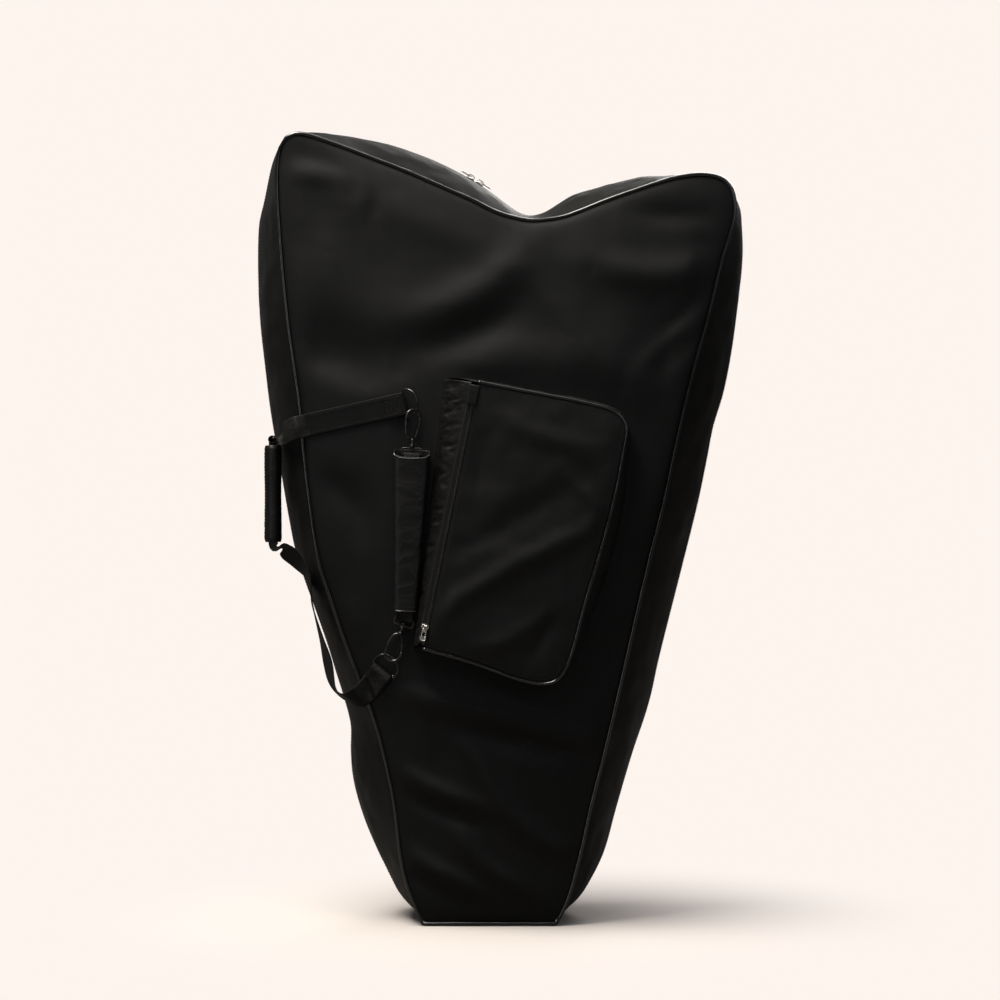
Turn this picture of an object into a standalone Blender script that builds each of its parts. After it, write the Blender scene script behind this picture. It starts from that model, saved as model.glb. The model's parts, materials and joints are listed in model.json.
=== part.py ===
# Padded carry cover for a lever harp: a zipped soft case on a flat base, with a front pocket,
# a side handle and a short padded strap between two D-rings.
# Metres, Z up. X runs to the right, Y to the back. The origin is the middle of the resting face.

import math
import bpy
import bmesh
from mathutils import Vector, Matrix
from mathutils.bvhtree import BVHTree

for thing in list(bpy.data.objects):
    bpy.data.objects.remove(thing, do_unlink=True)

# Whole cover
cover_width = 0.720
cover_height = 1.190
cover_depth = 0.240
panel_crown = 0.028
crown_power = 0.6
neck_rise = 0.0316
seam_height = 0.0035
running_gap = 0.0003
seat_gap = 0.0008
soft_gap = 0.0008

# Cloth, padding and lining
cloth_thickness = 0.0015
foam_thickness = 0.0080
lining_thickness = 0.0012
gusset_padding = 0.0060
piping_radius = 0.0030

# Base
base_cloth_thickness = 0.0030
base_board_thickness = 0.0030
base_pad_thickness = 0.0060
base_board_margin = 0.0140

# Main zip
tape_half_width = 0.0160
tape_thickness = 0.0010
teeth_half_width = 0.0030
teeth_thickness = 0.0022
teeth_rise = 0.0008
stop_length = 0.0060
stop_height = 0.0260

# Zip sliders and pulls
slider_length = 0.0125
slider_width = 0.0105
slider_waist = 0.0080
slider_thickness = 0.0020
slider_clearance = 0.0004
bridge_height = 0.0036
bridge_length = 0.0100
bridge_width = 0.0030
bridge_thickness = 0.0012
pull_length = 0.0200
pull_width = 0.0090
pull_border = 0.0020
pull_thickness = 0.0014
left_slider_turn = 30.7
slider_pair_gap = 0.0036

# Front pocket
pocket_width_share = 0.4208
pocket_height = 0.447
pocket_depth = 0.040
pocket_crown = 0.006
pocket_face_thickness = 0.0040
pocket_wall_thickness = 0.0025
pocket_flare = 0.0040
pocket_right_flare = 0.0180
pocket_piping_radius = 0.0025
pocket_tape_width = 0.0120
pocket_teeth_width = 0.0040
pocket_teeth_thickness = 0.0012
pocket_slider_start = 0.0180
pocket_patch_length = 0.0300
pocket_patch_width = 0.0160
pocket_patch_thickness = 0.0012

# Webbing, D-rings and their tabs
webbing_width = 0.0340
webbing_thickness = 0.0020
fold_length = 0.0300
leg_lift = 0.00095
handle_hinge_rise = 0.0012
ring_height = 0.0400
ring_reach = 0.0270
ring_straight = 0.0090
ring_wire_radius = 0.0018
upper_ring_swing = 34.0
lower_ring_swing = 6.0
hang_reach = 0.0145

# Carry handle
grip_length = 0.1460
grip_half_width = 0.0130
grip_half_depth = 0.0210
grip_skin = 0.0020
grip_end_gap = 0.0060
band_lap = 0.0100

# Strap, snap hooks and eyes
strap_webbing_width = 0.0240
strap_webbing_thickness = 0.0018
strap_tail = 0.0300
pad_length = 0.2390
pad_travel = 0.0040
pad_start = 0.0560
pad_top_half_width = 0.0270
pad_end_half_width = 0.0172
pad_top_half_depth = 0.0088
pad_end_half_depth = 0.0082
pad_wall = 0.0018
pad_standoff = 0.0034
pad_squareness = 0.65
bow_radius = 0.0115
bow_wire_radius = 0.0022
bow_length = 0.0380
bow_hang_gap = 0.0004
gate_radius = 0.0015
shank_radius = 0.0042
shank_length = 0.0110
pin_radius = 0.0016
pin_head_radius = 0.0028
pin_head_thickness = 0.0014
eye_width = 0.0320
eye_height = 0.0130
eye_thickness = 0.0034
eye_bar = 0.0032
park_gap = 0.0010
strap_spine_gap = 0.0020
hook_turn = -30.0
hook_play = 12.0

# Places on the cover, as shares of its width from the middle and of its height
upper_bar_share = (-0.190, 0.655)
upper_root_share = (-0.388, 0.629)
lower_bar_share = (-0.233, 0.320)
lower_root_share = (-0.260, 0.299)
pad_end_height_share = 0.392
pocket_centre_share = (0.0625, 0.494)
grip_centre_share = (-0.4665, -0.346, 0.5424)

# Outline of the front and back seams, in shares of the cover's width and height
seam_left_shares = [
    (-0.150, 0.0), (-0.169, 0.026), (-0.183, 0.049), (-0.196, 0.082), (-0.210, 0.151),
    (-0.227, 0.202), (-0.248, 0.251), (-0.277, 0.299), (-0.312, 0.355), (-0.344, 0.412),
    (-0.367, 0.456), (-0.383, 0.513), (-0.398, 0.587), (-0.406, 0.645), (-0.419, 0.702),
    (-0.431, 0.753), (-0.442, 0.816), (-0.448, 0.861), (-0.454, 0.916), (-0.454, 0.961),
    (-0.444, 0.988)]
seam_neck_left_shares = [
    (-0.444, 0.988), (-0.408, 0.997), (-0.331, 0.983), (-0.248, 0.964), (-0.196, 0.952),
    (-0.123, 0.933), (-0.048, 0.913), (0.010, 0.896), (0.073, 0.886)]
seam_neck_right_shares = [
    (0.073, 0.886), (0.135, 0.891), (0.175, 0.899), (0.233, 0.913), (0.294, 0.926),
    (0.367, 0.940), (0.427, 0.945), (0.465, 0.940), (0.490, 0.929)]
seam_right_shares = [
    (0.490, 0.929), (0.492, 0.901), (0.481, 0.870), (0.467, 0.834), (0.444, 0.766),
    (0.427, 0.727), (0.406, 0.679), (0.381, 0.614), (0.352, 0.532), (0.323, 0.463),
    (0.296, 0.393), (0.265, 0.311), (0.231, 0.223), (0.200, 0.149), (0.181, 0.097),
    (0.160, 0.047), (0.144, 0.020), (0.127, 0.0)]

# Outline of the gusset's crest, where the zip runs, halfway between the seams
crest_left_shares = [
    (-0.150, 0.0), (-0.177, 0.011), (-0.206, 0.030), (-0.240, 0.069), (-0.271, 0.110),
    (-0.292, 0.147), (-0.304, 0.179), (-0.308, 0.211), (-0.308, 0.245), (-0.323, 0.280),
    (-0.340, 0.313), (-0.356, 0.345), (-0.383, 0.392), (-0.408, 0.434), (-0.429, 0.476),
    (-0.456, 0.567), (-0.479, 0.648), (-0.492, 0.712), (-0.502, 0.769), (-0.506, 0.837),
    (-0.504, 0.889), (-0.494, 0.916), (-0.477, 0.964), (-0.456, 0.996)]
crest_arc_shares = [(-0.421, 1.006), (0.032, 0.912)]
crest_notch_shares = [(0.053, 0.904), (0.071, 0.899)]
crest_neck_right_shares = [
    (0.071, 0.899), (0.102, 0.904), (0.144, 0.920), (0.171, 0.929), (0.217, 0.937),
    (0.279, 0.947), (0.323, 0.951), (0.406, 0.951), (0.458, 0.947), (0.500, 0.933)]
crest_right_shares = [
    (0.500, 0.933), (0.521, 0.906), (0.527, 0.872), (0.527, 0.843), (0.523, 0.816),
    (0.517, 0.783), (0.504, 0.725), (0.487, 0.673), (0.465, 0.629), (0.450, 0.582),
    (0.425, 0.512), (0.354, 0.342), (0.327, 0.271), (0.292, 0.207), (0.258, 0.137),
    (0.233, 0.082), (0.202, 0.043), (0.169, 0.016), (0.127, 0.0)]

# Outline of the pocket's face, in shares of the pocket's width and height from its middle
pocket_top_shares = [(-0.233, 0.500), (-0.035, 0.473), (0.257, 0.435), (0.431, 0.403), (0.500, 0.352)]
pocket_right_shares = [
    (0.500, 0.352), (0.480, 0.272), (0.441, 0.134), (0.391, 0.0), (0.342, -0.117),
    (0.292, -0.228), (0.238, -0.369), (0.198, -0.446), (0.153, -0.493)]
pocket_base_shares = [
    (-0.500, -0.383), (-0.421, -0.399), (-0.327, -0.416), (-0.203, -0.443), (-0.059, -0.480),
    (0.064, -0.500), (0.153, -0.493)]
pocket_root_shares = [(-0.550, -0.393), (-0.400, 0.517)]

# Line of a snap hook's bow: the neck in shares of the bow's radius and length, then how far the
# straight side and the tip stand above the bow's centre, in shares of its radius
bow_neck_shares = [(0.0, 1.0), (0.45, 0.93), (0.86, 0.78), (1.0, 0.55)]
bow_straight_share = 0.3
bow_tip_share = 0.35

# Free webbing of the carry handle: place as shares of width, depth and height, then the direction
# of the webbing's width. Both lists end at the webbing's root on the front panel.
handle_band_shares = [
    ((-0.4643, -0.262, 0.6225), (0.0, 0.0, 1.0)), ((-0.4643, -0.330, 0.6225), (0.0, 0.0, 1.0)),
    ((-0.4610, -0.400, 0.6228), (0.0, 0.0, 1.0)), ((-0.4500, -0.455, 0.6235), (0.0, 0.0, 1.0)),
    ((-0.4330, -0.502, 0.6245), (-0.1, 0.0, 1.0)), ((-0.4150, -0.532, 0.6258), (-0.2, 0.0, 1.0)),
    ((-0.4010, -0.537, 0.6270), (-0.22, 0.0, 1.0))]
handle_lower_shares = [
    ((-0.460, -0.346, 0.470), (0.0, -1.0, 0.0)), ((-0.440, -0.350, 0.455), (0.0, -1.0, 0.0)),
    ((-0.413, -0.356, 0.438), (0.0, -1.0, 0.0)), ((-0.390, -0.358, 0.405), (0.0, -1.0, 0.0)),
    ((-0.362, -0.358, 0.358), (0.0, -1.0, 0.0)), ((-0.352, -0.380, 0.330), (0.0, -1.0, 0.0)),
    ((-0.342, -0.415, 0.306), (-0.1, -0.95, 0.0)), ((-0.327, -0.455, 0.290), (-0.3, -0.8, 0.2)),
    ((-0.306, -0.500, 0.283), (-0.55, -0.5, 0.5)), ((-0.288, -0.534, 0.285), (-0.7, -0.2, 0.65)),
    ((-0.274, -0.541, 0.291), (-0.3, 0.0, 0.9))]
row_shares = (-0.5, -0.25, 0.0, 0.25, 0.5)

# How finely the outlines are divided
side_cells = 14
neck_left_cells = 8
neck_right_cells = 6
wall_stations = (0.33, 0.61)
pocket_across_cells = 6
pocket_up_cells = 8
round_sides = 12


# Curves and outlines

def spline(points, steps=12):
    ends = [points[0] * 2 - points[1]] + list(points) + [points[-1] * 2 - points[-2]]
    dense = []
    for a, b, c, d in zip(ends, ends[1:], ends[2:], ends[3:]):
        for k in range(steps):
            t = k / steps
            dense.append(0.5 * (2 * b + (c - a) * t + (2 * a - 5 * b + 4 * c - d) * t ** 2
                                + (3 * b - a - 3 * c + d) * t ** 3))
    return dense + [points[-1].copy()]


def even(points, cells):
    dense = spline(points)
    reach = [0.0]
    for a, b in zip(dense, dense[1:]):
        reach.append(reach[-1] + (b - a).length)
    spaced = []
    k = 0
    for i in range(cells + 1):
        want = reach[-1] * i / cells
        while k < len(dense) - 2 and reach[k + 1] < want:
            k += 1
        span = reach[k + 1] - reach[k]
        spaced.append(dense[k].lerp(dense[k + 1], (want - reach[k]) / span if span else 0.0))
    return spaced


def on_cover(shares):
    return [cover_point(share) for share in shares]


def cover_point(share):
    return Vector((share[0] * cover_width, seam_height + share[1] * cover_height))


def offset(points, distance, closed=False):
    # The outlines run up the left, across the top and down the right, so inward is to their right
    moved = []
    count = len(points)
    for i, point in enumerate(points):
        before = points[i - 1] if closed or i else None
        after = points[(i + 1) % count] if closed or i < count - 1 else None
        normals = []
        if before is not None:
            way = (point - before).normalized()
            normals.append(Vector((way.y, -way.x)))
        if after is not None:
            way = (after - point).normalized()
            normals.append(Vector((way.y, -way.x)))
        middle = sum(normals, Vector((0.0, 0.0))).normalized()
        moved.append(point + middle * (distance / middle.dot(normals[0])))
    return moved


def rise_arc(start, end, rise, count):
    # Points on the arc from start to end that rises above its chord, and the arc's centre
    chord = end - start
    half = chord.length / 2
    radius = (half ** 2 + rise ** 2) / (2 * rise)
    up = Vector((-chord.y, chord.x)).normalized()
    centre = start + chord / 2 - up * (radius - rise)
    first = (start - centre)
    sweep = 2 * math.asin(half / radius)
    points = []
    for k in range(count + 1):
        turn = -sweep * k / count
        points.append(centre + Matrix.Rotation(turn, 2) @ first)
    return points, centre, radius


def deep(point, y):
    return Vector((point.x, y, point.y))


def bulge(depth_share):
    return 1 - (1 - depth_share) ** 2


# Meshes

def slab(outer, inner, closed=False):
    # A closed wall between two like grids of points, with every cell cut along the same diagonal
    bm = bmesh.new()
    front = [[bm.verts.new(p) for p in row] for row in outer]
    back = [[bm.verts.new(p) for p in row] for row in inner]
    rows = len(outer)
    last = len(outer[0]) - 1
    for i in range(rows if closed else rows - 1):
        k = (i + 1) % rows
        for grid in (front, back):
            for j in range(last):
                bm.faces.new((grid[i][j], grid[k][j], grid[k][j + 1]))
                bm.faces.new((grid[i][j], grid[k][j + 1], grid[i][j + 1]))
        bm.faces.new((front[i][0], front[k][0], back[k][0], back[i][0]))
        bm.faces.new((front[i][last], front[k][last], back[k][last], back[i][last]))
    if not closed:
        for i in (0, rows - 1):
            for j in range(last):
                bm.faces.new((front[i][j], front[i][j + 1], back[i][j + 1], back[i][j]))
    bmesh.ops.recalc_face_normals(bm, faces=bm.faces)
    return bm


def tube(points, radius, closed=False, roundness=2):
    data = bpy.data.curves.new("path", "CURVE")
    data.dimensions = "3D"
    data.bevel_depth = radius
    data.bevel_resolution = roundness
    data.use_fill_caps = True
    line = data.splines.new("POLY")
    line.points.add(len(points) - 1)
    for spot, point in zip(line.points, points):
        spot.co = (*point, 1)
    line.use_cyclic_u = closed
    holder = bpy.data.objects.new("path", data)
    mesh = bpy.data.meshes.new_from_object(holder)
    bm = bmesh.new()
    bm.from_mesh(mesh)
    bmesh.ops.remove_doubles(bm, verts=bm.verts, dist=radius / 100)
    bmesh.ops.recalc_face_normals(bm, faces=bm.faces)
    bpy.data.objects.remove(holder)
    bpy.data.curves.remove(data)
    bpy.data.meshes.remove(mesh)
    return bm


def ribbon(points, across, width, thickness):
    outer = []
    inner = []
    count = len(points)
    for i, point in enumerate(points):
        way = (points[min(i + 1, count - 1)] - points[max(i - 1, 0)]).normalized()
        side = (across[i] - way * across[i].dot(way)).normalized() * (width / 2)
        lift = way.cross(side).normalized() * (thickness / 2)
        outer.append([point - side + lift, point + side + lift])
        inner.append([point - side - lift, point + side - lift])
    return slab(outer, inner)


def box(low, high):
    bm = bmesh.new()
    bmesh.ops.create_cube(bm, size=1)
    for v in bm.verts:
        v.co = Vector([low[k] if v.co[k] < 0 else high[k] for k in range(3)])
    bmesh.ops.recalc_face_normals(bm, faces=bm.faces)
    return bm


def prism(outline, thickness):
    # A flat outline in local X and Y, thickened along +Z
    bm = bmesh.new()
    face = bm.faces.new([bm.verts.new((p[0], p[1], 0)) for p in outline])
    raised = bmesh.ops.extrude_face_region(bm, geom=[face])
    bmesh.ops.translate(bm, vec=(0, 0, thickness),
                        verts=[e for e in raised["geom"] if isinstance(e, bmesh.types.BMVert)])
    bmesh.ops.recalc_face_normals(bm, faces=bm.faces)
    return bm


def ring_plate(outer, inner, thickness):
    # A flat ring between two like outlines in local X and Y, thickened along +Z
    return slab([[Vector((p[0], p[1], 0)), Vector((q[0], q[1], 0))] for p, q in zip(outer, inner)],
                [[Vector((p[0], p[1], thickness)), Vector((q[0], q[1], thickness))]
                 for p, q in zip(outer, inner)], closed=True)


def oval(half_width, half_depth, count=round_sides):
    turns = [2 * math.pi * k / count for k in range(count)]
    return [(half_width * math.cos(a), half_depth * math.sin(a)) for a in turns]


def rounded(half_length, half_width, corner):
    spots = []
    for k in range(8):
        a = math.radians(22.5 + 45 * k)
        side_x = math.copysign(half_length - corner, math.cos(a))
        side_y = math.copysign(half_width - corner, math.sin(a))
        spots.append((side_x + corner * math.cos(a), side_y + corner * math.sin(a)))
    return spots


def turned(profile, count=round_sides):
    # A solid turned about local Z from radius and height pairs, closed at both ends
    bm = bmesh.new()
    verts = [bm.verts.new((r, 0, z)) for r, z in profile]
    edges = [bm.edges.new(pair) for pair in zip(verts, verts[1:])]
    bmesh.ops.spin(bm, geom=verts + edges, axis=(0, 0, 1), cent=(0, 0, 0), steps=count,
                   angle=2 * math.pi, use_merge=True)
    reach = max(r for r, z in profile)
    bmesh.ops.remove_doubles(bm, verts=bm.verts, dist=reach / 100)
    bmesh.ops.recalc_face_normals(bm, faces=bm.faces)
    return bm


def moved(bm, matrix):
    bmesh.ops.transform(bm, matrix=matrix, verts=bm.verts)
    return bm


def as_object(bm, name="piece"):
    mesh = bpy.data.meshes.new(name)
    bm.to_mesh(mesh)
    bm.free()
    thing = bpy.data.objects.new(name, mesh)
    bpy.context.collection.objects.link(thing)
    return thing


def combined(base, others, operation):
    body_piece = as_object(base)
    tools = [as_object(other) for other in others]
    for tool in tools:
        step = body_piece.modifiers.new(operation, "BOOLEAN")
        step.operation = operation
        step.object = tool
    graph = bpy.context.evaluated_depsgraph_get()
    mesh = bpy.data.meshes.new_from_object(body_piece.evaluated_get(graph))
    bm = bmesh.new()
    bm.from_mesh(mesh)
    for thing in tools + [body_piece]:
        bpy.data.objects.remove(thing, do_unlink=True)
    return bm


def frame_at(origin, along, across, up):
    spot = Matrix((along, across, up)).transposed().to_4x4()
    spot.translation = origin
    return spot


# Materials, bodies and nodes

def material(name, colour, roughness, metallic=0.0):
    made = bpy.data.materials.new(name)
    made.use_nodes = True
    shader = made.node_tree.nodes["Principled BSDF"]
    shader.inputs["Base Color"].default_value = (*colour, 1)
    shader.inputs["Roughness"].default_value = roughness
    shader.inputs["Metallic"].default_value = metallic
    return made


finishes = {
    "cloth": ((0.018, 0.017, 0.016), 0.85, 0.0), "foam": ((0.03, 0.03, 0.03), 0.95, 0.0),
    "lining": ((0.02, 0.02, 0.022), 0.7, 0.0), "board": ((0.10, 0.09, 0.08), 0.8, 0.0),
    "piping": ((0.06, 0.06, 0.06), 0.4, 0.0), "webbing": ((0.015, 0.015, 0.015), 0.8, 0.0),
    "leather": ((0.02, 0.018, 0.016), 0.5, 0.0), "tape": ((0.015, 0.015, 0.015), 0.8, 0.0),
    "teeth": ((0.02, 0.02, 0.02), 0.45, 0.0), "nickel": ((0.62, 0.61, 0.58), 0.25, 1.0),
    "gunmetal": ((0.12, 0.12, 0.12), 0.35, 1.0)}

bodies = {}


def body(name, pivot, axis, parent=None):
    # An empty with its Z on the joint's axis carries the pieces that move together
    world = axis.to_track_quat("Z", "Y").to_matrix().to_4x4()
    world.translation = pivot
    holder = bpy.data.objects.new(name + "_body", None)
    bpy.context.collection.objects.link(holder)
    holder.parent = bodies[parent][0] if parent else None
    holder.matrix_basis = bodies[parent][1].inverted() @ world if parent else world
    bodies[name] = (holder, world)


def add(name, bm, finish, body_name, smooth=False):
    holder, world = bodies[body_name]
    moved(bm, world.inverted())
    thing = as_object(bm, name)
    colour, roughness, metallic = finishes[finish]
    thing.data.materials.append(material(name, colour, roughness, metallic))
    thing.parent = holder
    if smooth:
        thing.data.shade_smooth()
        thing.data.set_sharp_from_angle(angle=math.radians(40))
    return thing


# The cover's outlines

half_depth = cover_depth / 2
seam_left = even(on_cover(seam_left_shares), side_cells)
seam_neck = (even(on_cover(seam_neck_left_shares), neck_left_cells)
             + even(on_cover(seam_neck_right_shares), neck_right_cells)[1:])
seam_right = even(on_cover(seam_right_shares), side_cells)
seam_path = seam_left + seam_neck[1:] + seam_right[1:]

arc_start, arc_end = on_cover(crest_arc_shares)
crest_arc, arc_centre, arc_radius = rise_arc(arc_start, arc_end, neck_rise, neck_left_cells)
crest_left_spots = on_cover(crest_left_shares)
crest_neck_spots = [crest_left_spots[-1]] + crest_arc + on_cover(crest_notch_shares)
crest_neck = (even(crest_neck_spots, neck_left_cells)
              + even(on_cover(crest_neck_right_shares), neck_right_cells)[1:])
crest_path = (even(crest_left_spots, side_cells) + crest_neck[1:]
              + even(on_cover(crest_right_shares), side_cells)[1:])

corner_left = side_cells
corner_right = side_cells + neck_left_cells + neck_right_cells
path_end = len(seam_path) - 1
base_cells = neck_left_cells + neck_right_cells
seam_base = [seam_path[-1].lerp(seam_path[0], k / base_cells) for k in range(base_cells + 1)]
seam_loop = seam_path + seam_base[1:-1]


def panel_grid(inset):
    # Points of a panel inside the seam, across and up, blended from its four sides
    loop = offset(seam_loop, inset, closed=True)
    left = loop[:corner_left + 1]
    top = loop[corner_left:corner_right + 1]
    right = loop[corner_right:path_end + 1][::-1]
    base = (loop[path_end:] + [loop[0]])[::-1]
    return blend_sides(left, top, right, base)


def blend_sides(left, top, right, base):
    across = len(top) - 1
    up = len(left) - 1
    grid = []
    for i in range(across + 1):
        u = i / across
        column = []
        for j in range(up + 1):
            v = j / up
            flat = base[i] * (1 - v) + top[i] * v + left[j] * (1 - u) + right[j] * u
            flat -= (base[0] * (1 - u) * (1 - v) + base[-1] * u * (1 - v)
                     + top[0] * (1 - u) * v + top[-1] * u * v)
            column.append((flat, (16 * u * (1 - u) * v * (1 - v)) ** crown_power))
        grid.append(column)
    return grid


def layer(grid, face, crown, thickness, side):
    # A sheet that follows the crowned grid; side is -1 for the front of the cover and 1 for the back
    outer = [[deep(p, side * (face + crown * g)) for p, g in column] for column in grid]
    inner = [[deep(p, side * (face + crown * g - thickness)) for p, g in column] for column in grid]
    return slab(outer, inner)


def wall_line(depth_share, inset):
    line = [a.lerp(b, bulge(depth_share)) for a, b in zip(seam_path, crest_path)]
    return offset(line, inset)


def wall(distances, outset, thickness, side):
    # A strip round the left, top and right of the cover, at the given distances from the seam's plane
    lines = []
    for inset in (-outset, thickness - outset):
        stations = [wall_line(distance / half_depth, inset) for distance in distances]
        lines.append([[deep(line[i], side * (half_depth - distance))
                       for line, distance in zip(stations, distances)] for i in range(len(seam_path))])
    return lines


def cut_strip(lines, first, last):
    # One length of a wall, drawn back at its ends so that it clears its neighbours
    pieces = []
    for rows in lines:
        part = [[p.copy() for p in row] for row in rows[first:last + 1]]
        for end, inside in ((0, 1), (-1, -2)):
            for j, point in enumerate(part[end]):
                way = (part[inside][j] - point).normalized()
                part[end][j] = point + way * running_gap
        pieces.append(part)
    return slab(*pieces)


# Bodies

body("back_half", Vector((0, 0, 0)), Vector((0, 0, 1)))
body("front_half", Vector((0, -half_depth, seam_height)), Vector((1, 0, 0)), "back_half")

cloth_edge = piping_radius + running_gap
stack = cloth_thickness + foam_thickness + lining_thickness + 2 * running_gap
wall_distances = ([cloth_edge, stack + soft_gap] + [share * half_depth for share in wall_stations]
                  + [half_depth - tape_half_width - running_gap])


# Shells

def shell(prefix, side, body_name):
    grid = panel_grid(cloth_edge)
    face = half_depth
    for label, finish, thickness in (("panel", "cloth", cloth_thickness),
                                     ("foam", "foam", foam_thickness),
                                     ("lining", "lining", lining_thickness)):
        add(prefix + "_" + label, layer(grid, face, panel_crown, thickness, side), finish, body_name)
        face -= thickness + running_gap

    cloth = wall(wall_distances, 0, cloth_thickness, side)
    add(prefix + "_gusset_left", cut_strip(cloth, 0, corner_left), "cloth", body_name)
    add(prefix + "_gusset_top", cut_strip(cloth, corner_left, corner_right), "cloth", body_name)
    add(prefix + "_gusset_right", cut_strip(cloth, corner_right, path_end), "cloth", body_name)
    padding = wall(wall_distances[1:], -(cloth_thickness + soft_gap), gusset_padding, side)
    add(prefix + "_gusset_padding", slab(*padding), "foam", body_name)

    piping = tube([deep(p, side * half_depth) for p in seam_loop], piping_radius, closed=True, roundness=1)
    add(prefix + "_piping", piping, "piping", body_name, smooth=True)

    tape_spots = [half_depth - tape_half_width, half_depth - teeth_half_width - running_gap]
    add(prefix + "_zip_tape", slab(*wall(tape_spots, 0, tape_thickness, side)), "tape", body_name)
    teeth_spots = [half_depth - teeth_half_width, half_depth - running_gap / 2]
    teeth = wall(teeth_spots, teeth_rise, teeth_thickness, side)
    add(prefix + "_zip_teeth", slab(*teeth), "teeth", body_name)
    return grid


back_grid = shell("back", 1, "back_half")
front_grid = shell("front", -1, "front_half")


# Base: bottom cloth, stiff board and pad

def base():
    left = seam_path[0].x
    right = seam_path[-1].x
    front = half_depth - cloth_edge
    add("base_panel", box((left, -front, 0), (right, front, base_cloth_thickness)), "cloth", "back_half")
    floor = base_cloth_thickness
    inner = half_depth - stack - soft_gap
    for name, finish, thickness in (("base_board", "board", base_board_thickness),
                                    ("base_pad", "foam", base_pad_thickness)):
        floor += running_gap
        low = (left + base_board_margin, -inner, floor)
        high = (right - base_board_margin, inner, floor + thickness)
        add(name, box(low, high), finish, "back_half")
        floor += thickness


base()


# Stops at the lower ends of the main zip, on the back tape

def zip_stops():
    near = teeth_half_width + running_gap * 2
    for name, spots in (("left", crest_path[:2]), ("right", crest_path[:-3:-1])):
        way = (spots[1] - spots[0]).normalized()
        outward = Vector((-way.y, way.x))
        if outward.x * spots[0].x < 0:
            outward = -outward
        grids = []
        for lift in (seat_gap, seat_gap + teeth_thickness):
            grids.append([[deep(spots[0] + way * reach + outward * lift, y)
                           for y in (near, near + stop_length)]
                          for reach in (stop_height - stop_length, stop_height)])
        add("zip_stop_" + name, slab(*grids), "nickel", "back_half")


zip_stops()


# Zip sliders and their pulls, in a frame with X along the zip and Z away from it

def slider_mesh(spot):
    plate = prism([(-slider_length / 2, -slider_waist / 2), (slider_length / 4, -slider_width / 2),
                   (slider_length / 2, -slider_waist / 2), (slider_length / 2, slider_waist / 2),
                   (slider_length / 4, slider_width / 2), (-slider_length / 2, slider_waist / 2)],
                  slider_thickness)
    foot = slider_thickness / 2
    top = slider_thickness + bridge_height + bridge_thickness / 2
    reach = bridge_length / 2
    arch = [Vector(p) for p in ((-reach, 0, foot), (-reach, 0, top - reach / 3), (-reach * 0.7, 0, top),
                                (reach * 0.7, 0, top), (reach, 0, top - reach / 3), (reach, 0, foot))]
    bridge = ribbon(arch, [Vector((0, 1, 0))] * len(arch), bridge_width, bridge_thickness)
    return moved(combined(plate, [bridge], "UNION"), spot)


def pull_mesh(spot, way):
    outline = rounded(pull_length / 2, pull_width / 2, pull_border)
    window = rounded(pull_length / 2 - pull_border, pull_width / 2 - pull_border, pull_border / 2)
    pull = ring_plate(outline, window, pull_thickness)
    centre = way * (pull_length / 2 - pull_border / 2)
    return moved(pull, spot @ Matrix.Translation((centre, 0, pull_bar_height - pull_thickness / 2)))


pull_bar_height = slider_thickness + bridge_height / 2


def arc_spot(turn):
    a = math.radians(turn)
    along = Vector((math.cos(a), 0, -math.sin(a)))
    up = Vector((math.sin(a), 0, math.cos(a)))
    origin = deep(arc_centre, 0) + up * (arc_radius + teeth_rise + slider_clearance)
    return frame_at(origin, along, Vector((0, 1, 0)), up)


def main_sliders():
    right_turn = left_slider_turn + math.degrees((slider_length + slider_pair_gap) / arc_radius)
    for side, turn, way in (("left", left_slider_turn, -1), ("right", right_turn, 1)):
        spot = arc_spot(turn)
        flipped = spot @ Matrix.Rotation(math.pi, 4, "Z") if way > 0 else spot
        slider = "zip_slider_" + side
        body(slider, deep(arc_centre, 0), Vector((0, 1, 0)), "back_half")
        add(slider, slider_mesh(flipped), "nickel", slider)
        pull = "zip_pull_" + side
        body(pull, spot @ Vector((0, 0, pull_bar_height)), Vector((0, -way, 0)), slider)
        add(pull, pull_mesh(spot, way), "nickel", pull)


main_sliders()


# Front pocket

panel_shape = BVHTree.FromBMesh(layer(front_grid, half_depth, panel_crown, cloth_thickness, -1))


def panel_front(x, z):
    hit = panel_shape.ray_cast(Vector((x, -cover_depth * 2, z)), Vector((0, 1, 0)))[0]
    return hit.y if hit else -half_depth


def on_panel(point, lift):
    return Vector((point.x, panel_front(point.x, point.y) - lift, point.y))


pocket_centre = cover_point(pocket_centre_share)
pocket_plane = -(half_depth + panel_crown + pocket_depth)


def on_pocket(shares):
    return [pocket_centre + Vector((x * pocket_width_share * cover_width, z * pocket_height)) for x, z in shares]


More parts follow.
